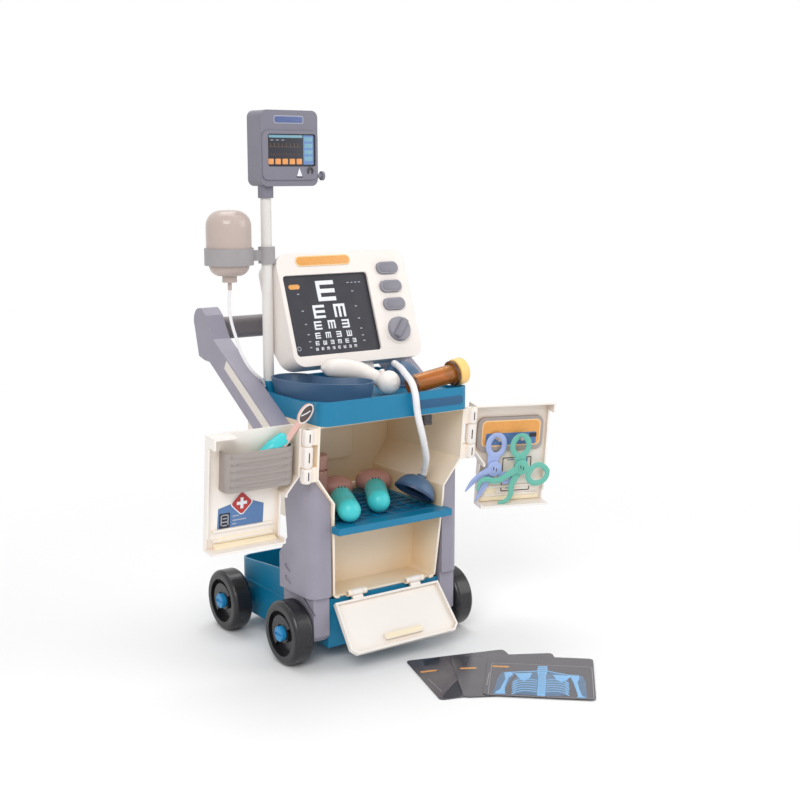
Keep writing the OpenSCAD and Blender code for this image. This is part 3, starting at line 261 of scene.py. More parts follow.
def moulded(name, rgb, gloss=0.42, mottle=0.05, grain=1100, edge=0.7, depth=0.05, painted_edge_highlight=0.3, painted_hollow_shade=None):
    """Moulded plastic: uneven colour, a fine grain, and soft edges with a painted highlight that makes them a
    little paler.

    The last argument is painted shade: a deeper, warmer colour put inside hollows where shade and bounced
    light fall, as (rgb, reach in metres).
    """
    material, tree, shader = new_material(name)
    colour = linear(*rgb)
    cloud = ranged(tree, object_noise(tree, 16, 4), 0.3, 0.7, 0, 1)
    base = blended(tree, cloud, shaded(colour, 1 - mottle), shaded(colour, 1 + mottle))
    # Painted shade: hollows found by ambient occlusion are given a deeper, warmer colour.
    if painted_hollow_shade:
        hollow = add_node(tree, "AmbientOcclusion", values={"Distance": painted_hollow_shade[1]}, samples=6)
        shade = ranged(tree, hollow.outputs["AO"], 0.15, 0.9, 1, 0)
        base = blended(tree, shade, base, linear(*painted_hollow_shade[0]))
    rounded = add_node(tree, "Bevel", values={"Radius": edge * MM}, samples=6)
    surface = add_node(tree, "NewGeometry")
    facing = add_node(tree, "VectorMath", operation="DOT_PRODUCT")
    tree.links.new(rounded.outputs["Normal"], facing.inputs[0])
    tree.links.new(surface.outputs["Normal"], facing.inputs[1])
    # Painted highlight: near edges, where the rounded normal turns from the face, the colour is painted
    # paler.
    painted_highlight_mask = ranged(tree, facing.outputs["Value"], 0.72, 0.98, painted_edge_highlight, 0)
    base = blended(tree, painted_highlight_mask, base, shaded(colour, 1.35))
    tree.links.new(base, shader.inputs["Base Color"])
    patches = ranged(tree, object_noise(tree, 45), 0.3, 0.7, gloss - 0.06, gloss + 0.08)
    tree.links.new(patches, shader.inputs["Roughness"])
    bump = add_node(
        tree,
        "Bump",
        {"Height": object_noise(tree, grain, 2), "Normal": rounded.outputs["Normal"]},
        {"Strength": depth, "Distance": 0.0004},
    )
    tree.links.new(bump.outputs["Normal"], shader.inputs["Normal"])
    shader.inputs["Specular IOR Level"].default_value = 0.45
    return material


def printed(name, rgb, gloss=0.4, glow=0.0):
    """A printed or sticker surface: thin ink with a slight unevenness and a satin coat."""
    material, tree, shader = new_material(name)
    colour = linear(*rgb)
    ink = ranged(tree, object_noise(tree, 260, 5), 0.35, 0.65, 0, 1)
    tree.links.new(blended(tree, ink, shaded(colour, 0.96), shaded(colour, 1.03)),
                   shader.inputs["Base Color"])
    tree.links.new(ranged(tree, object_noise(tree, 70), 0.3, 0.7, gloss - 0.05, gloss + 0.06),
                   shader.inputs["Roughness"])
    bump = add_node(tree, "Bump", {"Height": object_noise(tree, 2400, 2)},
                    {"Strength": 0.04, "Distance": 0.0002})
    tree.links.new(bump.outputs["Normal"], shader.inputs["Normal"])
    if glow:
        shader.inputs["Emission Color"].default_value = colour
        shader.inputs["Emission Strength"].default_value = glow
    return material


def clear_plastic(name, rgb, clarity, gloss=0.25, mottle=0.06):
    """Tinted plastic that lets part of the light through."""
    material = moulded(name, rgb, gloss, mottle, painted_edge_highlight=0.1)
    shader = material.node_tree.nodes["Principled BSDF"]
    shader.inputs["Transmission Weight"].default_value = clarity
    shader.inputs["IOR"].default_value = 1.46
    return material


def brushed_steel(name):
    material, tree, shader = new_material(name)
    shader.inputs["Metallic"].default_value = 1
    coordinates = add_node(tree, "TexCoord")
    stretched = add_node(tree, "Mapping", {"Vector": coordinates.outputs["Object"]})
    stretched.inputs["Scale"].default_value = (40, 900, 900)
    streaks = add_node(tree, "TexNoise", {"Vector": stretched.outputs["Vector"]}, {"Scale": 1, "Detail": 4})
    tone = ranged(tree, streaks.outputs["Fac"], 0.3, 0.7, 0, 1)
    tree.links.new(blended(tree, tone, linear(168, 170, 176), linear(214, 216, 220)),
                   shader.inputs["Base Color"])
    tree.links.new(ranged(tree, streaks.outputs["Fac"], 0.3, 0.7, 0.24, 0.38), shader.inputs["Roughness"])
    return material


CREAM_TRIM = moulded("cream trim plastic", (238, 230, 224), 0.4, 0.02)
TEAL = moulded("teal plastic", (10, 120, 160), 0.36, 0.06)
LILAC_GREY = moulded("lilac grey plastic", (150, 146, 160), 0.45, 0.04)
MONITOR_GREY = moulded("monitor grey plastic", (122, 120, 132), 0.44, 0.04)
BAR_GREY = moulded("bar grey plastic", (122, 116, 118), 0.42, 0.04)
TYRE_BLACK = moulded("glossy black plastic", (34, 34, 37), 0.22, 0.12, painted_edge_highlight=0.12)
CAP_BLUE = moulded("cap blue plastic", (36, 140, 196), 0.35, 0.05)
POLE_WHITE = moulded("pole white plastic", (224, 220, 216), 0.4, 0.02)
SLATE = moulded("slate blue plastic", (70, 99, 130), 0.38, 0.05)
TURQUOISE = moulded("turquoise plastic", (66, 198, 202), 0.34, 0.05)
PERIWINKLE = moulded("periwinkle plastic", (160, 178, 224), 0.36, 0.04)
MINT = moulded("mint plastic", (106, 184, 166), 0.36, 0.05)
PINK = moulded("dusty pink plastic", (206, 152, 142), 0.42, 0.05)
MIRROR_PINK = moulded("pale pink plastic", (226, 182, 172), 0.4, 0.04)
TAUPE = moulded("taupe plastic", (166, 156, 152), 0.44, 0.05)
POCKET_TAUPE = moulded("pocket taupe plastic", (160, 151, 147), 0.46, 0.05)
KEY_GREY = moulded("key grey plastic", (140, 138, 148), 0.42, 0.04)
CAP_YELLOW = moulded("cap yellow plastic", (250, 204, 122), 0.36, 0.03)
DARK_CATCH = moulded("dark catch plastic", (72, 68, 70), 0.45, 0.06)
PILL_PINK = moulded("pill bottle plastic", (200, 150, 140), 0.4, 0.05)
TUBE_WHITE = moulded("soft white tube", (236, 234, 236), 0.3, 0.02, painted_edge_highlight=0.05)
STEEL = brushed_steel("brushed steel")
AMBER = clear_plastic("clear amber plastic", (222, 148, 56), 0.75, 0.14)
DRIP_CLEAR = moulded("frosted bottle plastic", (186, 170, 162), 0.16, 0.03, edge=0.2, depth=0.01, painted_edge_highlight=0)
DRIP_RING = moulded("ring grey plastic", (158, 154, 156), 0.42, 0.04)
SCREEN_DARK = printed("dark screen print", (38, 40, 50), 0.4)
CHART_DARK = printed("dark chart sheet", (34, 34, 44), 0.5)
# White print; the mirror's painted glint uses it too.
WHITE_INK_AND_GLINT = printed("white ink and painted glint", (232, 234, 240), 0.4)
PALE_INK = printed("pale grey ink", (170, 174, 186), 0.4)
ORANGE_INK = printed("orange ink", (226, 160, 84), 0.42)
SOFT_ORANGE = printed("soft orange rim ink", (246, 206, 150), 0.42)
BLUE_INK = printed("blue ink", (84, 120, 168), 0.4)
LABEL_BLUE = printed("label blue ink", (84, 100, 148), 0.4)
SCREEN_BLUE = printed("screen blue ink", (108, 138, 190), 0.35)
SCREEN_CYAN = printed("screen cyan ink", (122, 168, 186), 0.35)
SCREEN_ORANGE = printed("screen orange ink", (230, 156, 90), 0.35)
RED_INK = printed("red ink", (178, 52, 48), 0.4)
RIB_BLUE = printed("rib blue ink", (128, 182, 228), 0.35)
RIB_DIM = printed("dim rib blue ink", (84, 112, 142), 0.35)
LIT_WHITE = printed("lit panel plastic", (240, 242, 248), 0.4)
PALE_BEIGE = moulded("pale beige plastic", (244, 230, 200), 0.42, 0.03)
FILM_SHEET = clear_plastic("dark film sheet", (92, 88, 94), 0.18, 0.2)
MIRROR_REFLECTION = printed("mirror painted reflection", (84, 72, 70), 0.18)
# The cabinet and the doors carry painted shade, deeper and warmer in their hollows.
CABINET_CREAM = moulded("cabinet cream plastic", (246, 236, 224), 0.4, 0.02, painted_hollow_shade=((246, 216, 172), 0.1))
DOOR_CREAM = moulded("door cream plastic", (242, 236, 230), 0.38, 0.02, painted_hollow_shade=((228, 210, 190), 0.03))
KEY_FACE = moulded("key face plastic", (128, 126, 136), 0.4, 0.03)
DARK_PRINT = printed("dark print", (44, 40, 42), 0.5)
TRACE_AMBER = printed("dim amber trace ink", (112, 86, 62), 0.35)
TRACE_RED = printed("dim red trace ink", (84, 62, 58), 0.35)
DEEP_BLUE = printed("deep blue print", (24, 84, 124), 0.4)
PALE_STRIP = printed("pale strip", (226, 218, 210), 0.45)
DEEP_TEAL = moulded("deep teal plastic", (8, 82, 122), 0.4, 0.06)
DEEP_SLATE = moulded("deep slate plastic", (52, 72, 104), 0.4, 0.05)
AMBER_DARK = clear_plastic("dark amber plastic", (120, 84, 52), 0.6, 0.14)
FILM_LINE = printed("film line ink", (156, 154, 160), 0.4)

# ---- Shaping ----


def only_select(piece):
    bpy.ops.object.select_all(action="DESELECT")
    piece.select_set(True)
    bpy.context.view_layer.objects.active = piece


def clean_mesh(piece, gap=0.0001):
    """Closes the seams of a mesh in millimetres and points its faces outwards."""
    only_select(piece)
    bpy.ops.object.mode_set(mode="EDIT")
    bpy.ops.mesh.select_all(action="SELECT")
    bpy.ops.mesh.remove_doubles(threshold=gap)
    bpy.ops.mesh.normals_make_consistent(inside=False)
    bpy.ops.object.mode_set(mode="OBJECT")


def settle(piece, place, material, body="cart", smooth=40):
    """Gives a finished piece its place, its finish and the body that it rides on."""
    piece.data.transform(place)
    piece.data.materials.clear()
    piece.data.materials.append(material)
    only_select(piece)
    bpy.ops.object.shade_smooth_by_angle(angle=math.radians(smooth))
    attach(piece, body)
    return piece


def linked(name, data):
    piece = bpy.data.objects.new(name, data)
    bpy.context.scene.collection.objects.link(piece)
    return piece


def as_mesh(piece):
    only_select(piece)
    bpy.ops.object.convert(target="MESH")
    return bpy.context.object


def flat_piece(name, outlines, place, thick, material, body="cart", edge=0.1):
    """A plate cut to closed outlines drawn in (u, v): its back lies on the place."""
    curve = bpy.data.curves.new(name, "CURVE")
    curve.dimensions = "2D"
    curve.fill_mode = "BOTH"
    curve.bevel_depth = edge
    curve.bevel_resolution = 2
    curve.offset = -edge
    curve.extrude = max(thick / 2 - edge, 0.001)
    for outline in outlines:
        spline = curve.splines.new("POLY")
        spline.points.add(len(outline) - 1)
        for point, (u, v) in zip(spline.points, outline):
            point.co = (u, v, 0, 1)
        spline.use_cyclic_u = True
    piece = as_mesh(linked(name, curve))
    clean_mesh(piece)
    return settle(piece, place @ moved(0, 0, thick / 2), material, body)


def turned_piece(name, profile, place, material, body="cart", steps=48, smooth=40):
    """A solid of revolution about the place's w, from (radius, height) points."""
    mesh = bpy.data.meshes.new(name)
    edges = [(k, k + 1) for k in range(len(profile) - 1)]
    mesh.from_pydata([(r, 0, h) for r, h in profile], edges, [])
    piece = linked(name, mesh)
    only_select(piece)
    bpy.ops.object.mode_set(mode="EDIT")
    bpy.ops.mesh.select_all(action="SELECT")
    bpy.ops.mesh.spin(steps=steps, angle=2 * math.pi, center=(0, 0, 0), axis=(0, 0, 1))
    bpy.ops.object.mode_set(mode="OBJECT")
    clean_mesh(piece)
    return settle(piece, place, material, body, smooth)


def through(points, steps=6):
    """Points of a smooth line through the given ones."""
    points = [Vector(p) for p in points]
    padded = [2 * points[0] - points[1], *points, 2 * points[-1] - points[-2]]
    line = []
    for a, b, c, d in zip(padded, padded[1:], padded[2:], padded[3:]):
        for k in range(steps):
            t = k / steps
            square, cube = 2 * a - 5 * b + 4 * c - d, 3 * b - a - 3 * c + d
            line.append(0.5 * (2 * b + (c - a) * t + square * t**2 + cube * t**3))
    return [*line, points[-1]]


def rod(name, points, radius, place, material, body="cart", steps=6, closed=False, sides=4):
    """A round rod along a smooth line through points. radius is a number, or one number a point."""
    radii = radius if isinstance(radius, (list, tuple)) else [radius] * len(points)
    smooth = through(points, steps)
    sizes = [value[0] for value in through([(r, 0, 0) for r in radii], steps)]
    curve = bpy.data.curves.new(name, "CURVE")
    curve.dimensions = "3D"
    curve.bevel_depth = 1
    curve.bevel_resolution = sides
    curve.use_fill_caps = not closed
    spline = curve.splines.new("POLY")
    spline.points.add(len(smooth) - 1)
    for point, place_at, size in zip(spline.points, smooth, sizes):
        point.co = (*place_at, 1)
        point.radius = max(size, 0.01)
    spline.use_cyclic_u = closed
    piece = as_mesh(linked(name, curve))
    clean_mesh(piece)
    return settle(piece, place, material, body, 50)


def soft_block(name, size, place, rounding, material, body="cart", segments=4, shape=None):
    """A block with rounded edges. shape moves the corners of the plain block before it is rounded."""
    bpy.ops.mesh.primitive_cube_add(size=1)
    piece = bpy.context.object
    piece.name = name
    piece.data.transform(Matrix.Diagonal((*size, 1)))
    if shape:
        for vertex in piece.data.vertices:
            vertex.co = shape(vertex.co.copy())
    edge = piece.modifiers.new("rounding", "BEVEL")
    edge.width = rounding
    edge.segments = segments
    edge.limit_method = "NONE"
    bpy.ops.object.modifier_apply(modifier="rounding")
    return settle(piece, place, material, body)


# ---- Outlines ----


def arc_points(u, v, r, start, end, steps=8):
    return [
        (u + r * math.cos(math.radians(start + (end - start) * k / steps)),
         v + r * math.sin(math.radians(start + (end - start) * k / steps)))
        for k in range(steps + 1)
    ]


def box_outline(u, v, width, height, r=0.5, steps=5):
    """A rectangle with round corners about (u, v)."""
    r = min(r, width / 2 - 0.01, height / 2 - 0.01)
    a, b = width / 2 - r, height / 2 - r
    corners = ((a, -b, -90), (a, b, 0), (-a, b, 90), (-a, -b, 180))
    return [p for x, y, s in corners for p in arc_points(u + x, v + y, r, s, s + 90, steps)]


def oval_outline(u, v, a, b, turn=0, steps=32):
    c, s = math.cos(math.radians(turn)), math.sin(math.radians(turn))
    ring = [(a * math.cos(2 * math.pi * k / steps), b * math.sin(2 * math.pi * k / steps))
            for k in range(steps)]
    return [(u + x * c - y * s, v + x * s + y * c) for x, y in ring]


def stroke(points, width):
    """The outline of an even line drawn through points."""
    points = [Vector(p) for p in points]
    left, right = [], []
    for k, point in enumerate(points):
        along = (points[min(k + 1, len(points) - 1)] - points[max(k - 1, 0)]).normalized()
        across = Vector((-along.y, along.x)) * width / 2
        left.append(tuple(point + across))
        right.append(tuple(point - across))
    return right + left[::-1]


def placed_outline(outline, u, v, turn=0, scale=1):
    c, s = math.cos(math.radians(turn)), math.sin(math.radians(turn))
    return [(u + scale * (x * c - y * s), v + scale * (x * s + y * c)) for x, y in outline]


# ---- Cords ----

DRIP_TUBE_DIAMETER = 4
DRIP_TUBE_ROUTE = [
    (-150, 10, 476), (-151, 10, 468), (-152, 9, 456), (-152, 7, 444), (-150, 5, 430), (-146, 3, 414),
    (-143, 0, 400), (-138, -3, 387), (-132, -5, 376), (-125, -5, 368), (-118, -4, 362), (-113, -2, 358),
    (-109, -1, 353), (-107.5, 0, 349), (-107.5, 0, 345), (-107.5, 0, 341),
]
MASK_HOSE_DIAMETER = 9
MASK_HOSE_ROUTE = [
    (60, -58, 371), (56, -65, 372), (50, -78, 372), (44, -92, 372), (37, -108, 371), (30, -124, 369),
    (25, -138, 366), (22, -151, 360), (20, -160, 350), (20, -163, 339), (22, -162, 328), (25, -161, 316),
    (30, -159, 303), (36, -155, 291), (43, -149, 279), (51, -141, 267), (59, -132, 256), (66, -122, 246),
    (71, -113, 237), (74, -107, 229), (74, -106, 226),
]


def soft_cord(name, route, diameter, node):
    """A soft tube along its route: it leaves the object at the first point and ends in it at the last."""
    curve = bpy.data.curves.new(name, "CURVE")
    curve.dimensions = "3D"
    curve.bevel_depth = diameter / 2 * MM
    curve.bevel_resolution = 6
    curve.resolution_u = 8
    curve.use_fill_caps = True
    spline = curve.splines.new("BEZIER")
    spline.bezier_points.add(len(route) - 1)
    for point, place in zip(spline.bezier_points, route):
        point.co = CART @ Vector(place)
        point.handle_left_type = point.handle_right_type = "AUTO"
    cord = linked(name, curve)
    cord.data.materials.append(TUBE_WHITE)
    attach(cord, "cart")
    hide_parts(node)


soft_cord("drip_line", DRIP_TUBE_ROUTE, DRIP_TUBE_DIAMETER, "drip_tube")
soft_cord("mask_line", MASK_HOSE_ROUTE, MASK_HOSE_DIAMETER, "mask_hose")

# ---- Finishes of the CAD nodes ----

NODE_FINISHES = (
    (TEAL, ("chassis", "shelf", "tray")),
    (LILAC_GREY, ("left_leg", "right_leg", "left_handle_arm", "right_handle_arm")),
    (DRIP_RING, ("drip_bracket",)),
    (STEEL, ("front_axle", "rear_axle", "hinge_pins", "arm_screws")),
    (CAP_BLUE, ("hub_caps",)),
    (TYRE_BLACK, ("front_left_wheel", "front_right_wheel", "rear_left_wheel", "rear_right_wheel")),
    (CABINET_CREAM, ("cabinet_shell", "cabinet_back")),
    (DOOR_CREAM, ("flap", "left_door", "right_door")),
    (CREAM_TRIM, ("viewer_rear", "viewer_bezel", "viewer_foot", "battery_cover", "probe")),
    (DARK_CATCH, ("door_catch",)),
    (POCKET_TAUPE, ("door_pocket",)),
    (TAUPE, ("hanger_plate",)),
    (BAR_GREY, ("handle_bar",)),
    (POLE_WHITE, ("pole",)),
    (MONITOR_GREY, ("monitor_rear", "monitor_front", "monitor_peg")),
    (DRIP_CLEAR, ("drip_bottle",)),
    (LIT_WHITE, ("viewer_panel",)),
    (CHART_DARK, ("chart_film",)),
    (KEY_GREY, ("upper_button", "middle_button", "lower_button", "viewer_knob")),
    (PERIWINKLE, ("scissors_fixed_half", "scissors_free_half")),
    (MINT, ("forceps_fixed_half", "forceps_free_half")),
    (MIRROR_PINK, ("hand_mirror",)),
    (TURQUOISE, ("syringe", "mallets")),
    (SLATE, ("kidney_dish", "bulb", "mask")),
    (AMBER, ("amber_bottle",)),
    (CAP_YELLOW, ("amber_cap",)),
    (PILL_PINK, ("pill_bottle",)),
    (FILM_SHEET, ("left_film", "middle_film", "right_film")),
)

for finish, names in NODE_FINISHES:
    for name in names:
        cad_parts[name].material_slots[0].material = finish

# ---- Joining ----


def joined(name, pieces):
    bpy.ops.object.select_all(action="DESELECT")
    for piece in pieces:
        piece.select_set(True)
    bpy.context.view_layer.objects.active = pieces[0]
    bpy.ops.object.join()
    bpy.context.object.name = name
    return bpy.context.object


def print_on(name, outlines, place, ink, body="cart", thick=0.3):
    return flat_piece(name, outlines, place, thick, ink, body, PRINT_EDGE)


# ---- The monitor's screen and label ----

MONITOR = CART @ moved(-68, 0, 606)
SCREEN_Y = -6.6

on_recess = front_of(MONITOR, -6)
print_on("monitor_screen", [box_outline(2.5, 46.5, 70.4, 40.4, 1.5)], on_recess, SCREEN_DARK,
         "monitor_body", 0.6)
on_screen = front_of(MONITOR, SCREEN_Y)
print_on("screen_top_bar", [box_outline(-5.7, 64, 49.8, 3.4, 0.6)], on_screen, SCREEN_CYAN,
         "monitor_body", 0.15)
print_on("screen_squares", [box_outline(-27.8 + 10.5 * k, 32.3, 8, 7, 0.8) for k in range(5)], on_screen,
         SCREEN_ORANGE, "monitor_body", 0.15)
print_on("screen_column", [box_outline(28.2, 47, 15.6, 37.2, 0.8)], on_screen, SCREEN_BLUE,
         "monitor_body", 0.15)
on_column = front_of(MONITOR, SCREEN_Y - 0.15)
print_on("screen_column_blocks", [box_outline(28.2, 60.5 - 8.2 * k, 12.4, 5.4, 0.6) for k in range(4)],
         on_column, SCREEN_CYAN, "monitor_body", 0.12)
print_on("screen_dashes", [box_outline(-26 + 8 * k, 59.3, 4.6, 0.8) for k in range(3)], on_screen, PALE_INK,
         "monitor_body", 0.12)
for name, height, tall, ink in (("upper", 51, 4.4, TRACE_AMBER), ("lower", 41, 2.6, TRACE_RED)):
    pulses = [box_outline(-28 + 5.8 * k, height + tall / 2, 0.7, tall, 0.3) for k in range(8)]
    print_on(f"screen_{name}_trace", [*pulses, box_outline(-7, height - 0.3, 46, 0.5, 0.2)], on_screen,
             ink, "monitor_body", 0.12)

print_on("monitor_label_rim", [box_outline(-1.4, 85.1, 43.9, 10, 3)], front_of(MONITOR, -7), PALE_INK,
         "monitor_body", 0.4)
print_on("monitor_label", [box_outline(-1.4, 85.1, 41.7, 7.8, 2.2)], front_of(MONITOR, -7.4), LABEL_BLUE,
         "monitor_body", 0.25)
print_on("monitor_pointer", [[(12.7, 24), (9, 13.5), (17, 13.5)]], front_of(MONITOR, MONITOR_FRONT_Y),
         WHITE_INK_AND_GLINT, "monitor_body", 0.4)
rod("monitor_hook", [(26, 20, 0), (26, 25, 1.4), (29, 27.5, 1.8), (32, 25, 1.4), (32, 20, 0)], 1.1,
    front_of(MONITOR, MONITOR_FRONT_Y, 0, -3), DARK_CATCH, "monitor_body")

# ---- The left door: prints, pocket ribs, syringe and ledges ----

on_panel = front_of(LEFT_DOOR, DOOR_PANEL_Y)
print_on("first_aid_house",
         [[(-109, -120.4), (-46, -120.4), (-45.5, -95.8), (-62, -89.6), (-91.6, -90.9), (-108, -94.7)]],
         on_panel, BLUE_INK, "left_door_body", 0.4)
on_house = front_of(LEFT_DOOR, DOOR_PANEL_Y - 0.4)
print_on("first_aid_dark_patch", [box_outline(-99.3, -110.6, 14.5, 19, 1)], on_house, CHART_DARK,
         "left_door_body", 0.15)
patch_marks = [box_outline(-99.3, -103.6 - 4.4 * k, (8, 6, 8, 6)[k], 1.3) for k in range(4)]
patch_marks += [box_outline(-104, -110.2, 1.3, 13), box_outline(-94.6, -110.2, 1.3, 13)]
print_on("first_aid_patch_marks", patch_marks, front_of(LEFT_DOOR, DOOR_PANEL_Y - 0.55), PALE_INK,
         "left_door_body", 0.12)
house_marks = [box_outline(-84, -106.5, 9, 1.4), box_outline(-79, -112, 19, 1.4),
               box_outline(-86, -116.6, 6, 1.4)]
print_on("first_aid_house_marks", house_marks, on_house, PALE_INK, "left_door_body", 0.12)
print_on("first_aid_diamond_rim", [placed_outline(box_outline(0, 0, 23.6, 23.6, 4.4), -76.2, -91, 45)],
         on_house, WHITE_INK_AND_GLINT, "left_door_body", 0.25)
print_on("first_aid_diamond", [placed_outline(box_outline(0, 0, 21, 21, 3.6), -76.2, -91, 45)],
         front_of(LEFT_DOOR, DOOR_PANEL_Y - 0.65), RED_INK, "left_door_body", 0.2)
plus = [(-2, -7), (2, -7), (2, -2), (7, -2), (7, 2), (2, 2), (2, 7), (-2, 7), (-2, 2), (-7, 2), (-7, -2),
        (-2, -2)]
print_on("first_aid_plus", [placed_outline(plus, -76.2, -91)], front_of(LEFT_DOOR, DOOR_PANEL_Y - 0.85),
         WHITE_INK_AND_GLINT, "left_door_body", 0.15)


def ledge(name, place, u, v, width, height, reach, body):
    """A ledge along the foot of a door whose upper side slopes down to the panel."""

    def slope(corner):
        if corner.y > 0 and corner.z > 0:
            corner.y -= height * 0.55
        return corner

    return soft_block(name, (width, height, reach), place @ moved(u, v, reach / 2),
                      min(1.6, reach * 0.45), PALE_BEIGE, body, 4, slope)


left_foot = front_of(LEFT_DOOR, DOOR_PANEL_Y)
ledge("left_door_upper_ledge", left_foot, -70, -134.5, 78, 7, 1.5, "left_door_body")
ledge("left_door_lower_ledge", left_foot, -72, -141.5, 86, 5.6, 8, "left_door_body")

pocket_front = front_of(LEFT_DOOR, 3)
for k in range(5):
    rise = -27 - 9.2 * k
    rod(f"pocket_line_{k + 1}", [(-104, rise + 1.6, 0), (-82, rise - 1.4, 0.1), (-58, rise - 2.4, 0.1),
                                 (-34, rise - 1.2, 0.1), (-20, rise + 1.8, 0)], 0.55, pocket_front,
        POCKET_TAUPE, "left_door_body")

barrel = aimed(LEFT_DOOR, (-24, 13.9, -13), (-74, 13.9, -42))
cone = [(0, -3), (6.4, -2.2), (8.8, 0.5), (9.3, 4), (9.2, 16), (9.4, 17), (9.4, 20.4), (8.8, 22),
        (6.2, 42), (5.2, 43.5), (2.4, 45), (2.2, 55), (0, 56.4)]
syringe = turned_piece("turquoise_syringe", cone, barrel, TURQUOISE, "syringe_body")
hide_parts("syringe")

# ---- The right door: hanger prints, instruments and ledge ----

on_plate = front_of(RIGHT_DOOR, HANGER_Y)
print_on("hanger_panel_rim", [box_outline(70, -45, 88, 37, 7)], on_plate, SOFT_ORANGE,
         "right_door_body", 0.25)
print_on("hanger_panel", [box_outline(70, -45, 85, 34, 6)], front_of(RIGHT_DOOR, HANGER_Y - 0.25), ORANGE_INK,
         "right_door_body", 0.2)
on_orange = front_of(RIGHT_DOOR, HANGER_Y - 0.45)
print_on("hanger_band", [box_outline(70, -53, 76, 17, 2)], on_orange, BLUE_INK, "right_door_body", 0.15)
print_on("hanger_dark_marks", [box_outline(103, -49, 11, 6, 1), box_outline(97, -57, 5, 4, 0.8)],
         front_of(RIGHT_DOOR, HANGER_Y - 0.6), CHART_DARK, "right_door_body", 0.12)
frame_print = [box_outline(84, -106, 44, 49, 2), box_outline(84, -106, 41.4, 46.4, 1.4)]
print_on("right_door_outline", frame_print, front_of(RIGHT_DOOR, DOOR_PANEL_Y), CHART_DARK,
         "right_door_body", 0.25)
print_on("right_door_outline_bars",
         [box_outline(76, -85, 14, 1.3), box_outline(76, -126, 14, 1.3), box_outline(96, -87, 8, 8, 1)],
         front_of(RIGHT_DOOR, DOOR_PANEL_Y), BLUE_INK, "right_door_body", 0.2)
right_foot = front_of(RIGHT_DOOR, DOOR_PANEL_Y)
ledge("right_door_ledge", right_foot, 74, -138.5, 92, 8.4, 1.5, "right_door_body")
turned_piece("right_door_half_round", [(0, 0.02), (11, 0.02), (10.8, 0.8), (9.8, 1.4), (0, 1.6)],
             front_of(RIGHT_DOOR, DOOR_PANEL_Y, 43, -130), PALE_BEIGE, "right_door_body")


def flattened(depth, thickness, width):
    return front_of(RIGHT_DOOR, depth) @ Matrix.Diagonal((1, 1, thickness / width, 1))


def instrument_piece(name, node, depth, loop, loop_radius, arm, arm_radii, pivot, material, body):
    """One half of an instrument: a finger loop, an arm through the pivot and the pivot's disc."""
    place = flattened(depth, 2.5, 2 * loop_radius)
    parts = [rod(name, loop, loop_radius, place, material, body, 8, True, 5)]
    broad = max(arm_radii)
    place = flattened(depth, 2.5, 2 * broad)
    parts.append(rod(name, arm, arm_radii, place, material, body, 8, False, 5))
    disc = [(0, -1.3), (10, -1.3), (10.8, -0.8), (10.8, 0.8), (10, 1.3), (0, 1.3)]
    parts.append(turned_piece(name, disc, front_of(RIGHT_DOOR, depth, *pivot), material, body))
    piece = joined(name, parts)
    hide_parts(node)
    return piece


def loop_through(u, v, a, b, turn=0, squeeze=0.0, steps=14):
    ring = []
    for k in range(steps):
        angle = 2 * math.pi * k / steps
        pinch = 1 - squeeze * max(0, math.sin(angle))
        ring.append((a * math.cos(angle) * pinch, b * math.sin(angle)))
    return [(*p, 0) for p in placed_outline(ring, u, v, turn)]


SCISSORS_PIVOT = (45, -93)
FORCEPS_PIVOT = (83, -91)
instrument_piece("scissors_back_half", "scissors_fixed_half", 15, loop_through(47, -60.5, 12, 14), 4.2,
                 [(44.5, -74, 0), (43.5, -84, 0), (45, -93, 0), (37, -110, 0), (28, -127, 0), (21, -139, 0)],
                 [9.6, 8.4, 8, 5.6, 4, 1.2], SCISSORS_PIVOT, PERIWINKLE, "scissors_body")
instrument_piece("scissors_front_half", "scissors_free_half", 12.2, loop_through(63, -107, 7.6, 6.2, -35),
                 2.6,
                 [(57, -103, 0), (51, -98, 0), (45, -93, 0), (29, -99, 0), (14, -110, 0), (4, -123, 0)],
                 [3.6, 4.8, 6, 5, 3.8, 1.2], SCISSORS_PIVOT, PERIWINKLE,
                 "scissors_free_body")
instrument_piece("forceps_back_half", "forceps_fixed_half", 8.8, loop_through(81, -61, 12.2, 14), 4.2,
                 [(81.5, -74, 0), (82, -84, 0), (82, -92, 0), (76, -106, 0), (71, -118, 0), (71, -129, 0),
                  (67, -137, 0), (60, -141, 0), (53, -142, 0)], [9.6, 8.4, 8, 5.4, 4.4, 4, 3.6, 3.2, 2.6],
                 FORCEPS_PIVOT, MINT, "forceps_body")
instrument_piece("forceps_front_half", "forceps_free_half", 6,
                 loop_through(108.6, -102, 15, 13.2, 12, 0.22), 4,
                 [(97, -97, 0), (90, -94, 0), (83, -91, 0), (66, -99, 0), (52, -107, 0), (41, -108, 0),
                  (30, -105, 0), (22, -109, 0), (19, -120, 0)], [5.4, 5.6, 6.6, 5, 4.4, 4.2, 3.6, 3, 2.2],
                 FORCEPS_PIVOT, MINT, "forceps_free_body")
for name, pivot, depth, finish, slot, body in (
    ("scissors_eyelet", SCISSORS_PIVOT, 10.8, PERIWINKLE, "scissors_plastic", "scissors_free_body"),
    ("forceps_eyelet", FORCEPS_PIVOT, 4.6, MINT, "forceps_plastic", "forceps_free_body"),
):
    turned_piece(name, [(0, 0.02), (5.4, 0.02), (5.4, 0.5), (4.8, 0.9), (0, 0.9)],
                 front_of(RIGHT_DOOR, depth, *pivot), finish, body)
    for side in (-1, 1):
        print_on(f"{name}_slot_{'left' if side < 0 else 'right'}",
                 [box_outline(pivot[0] + 2 * side, pivot[1] - side, 1.5, 5, 0.7)],
                 front_of(RIGHT_DOOR, depth - 0.9), DARK_PRINT, body, 0.12)

# ---- The viewer's chart, label, keys and knob ----

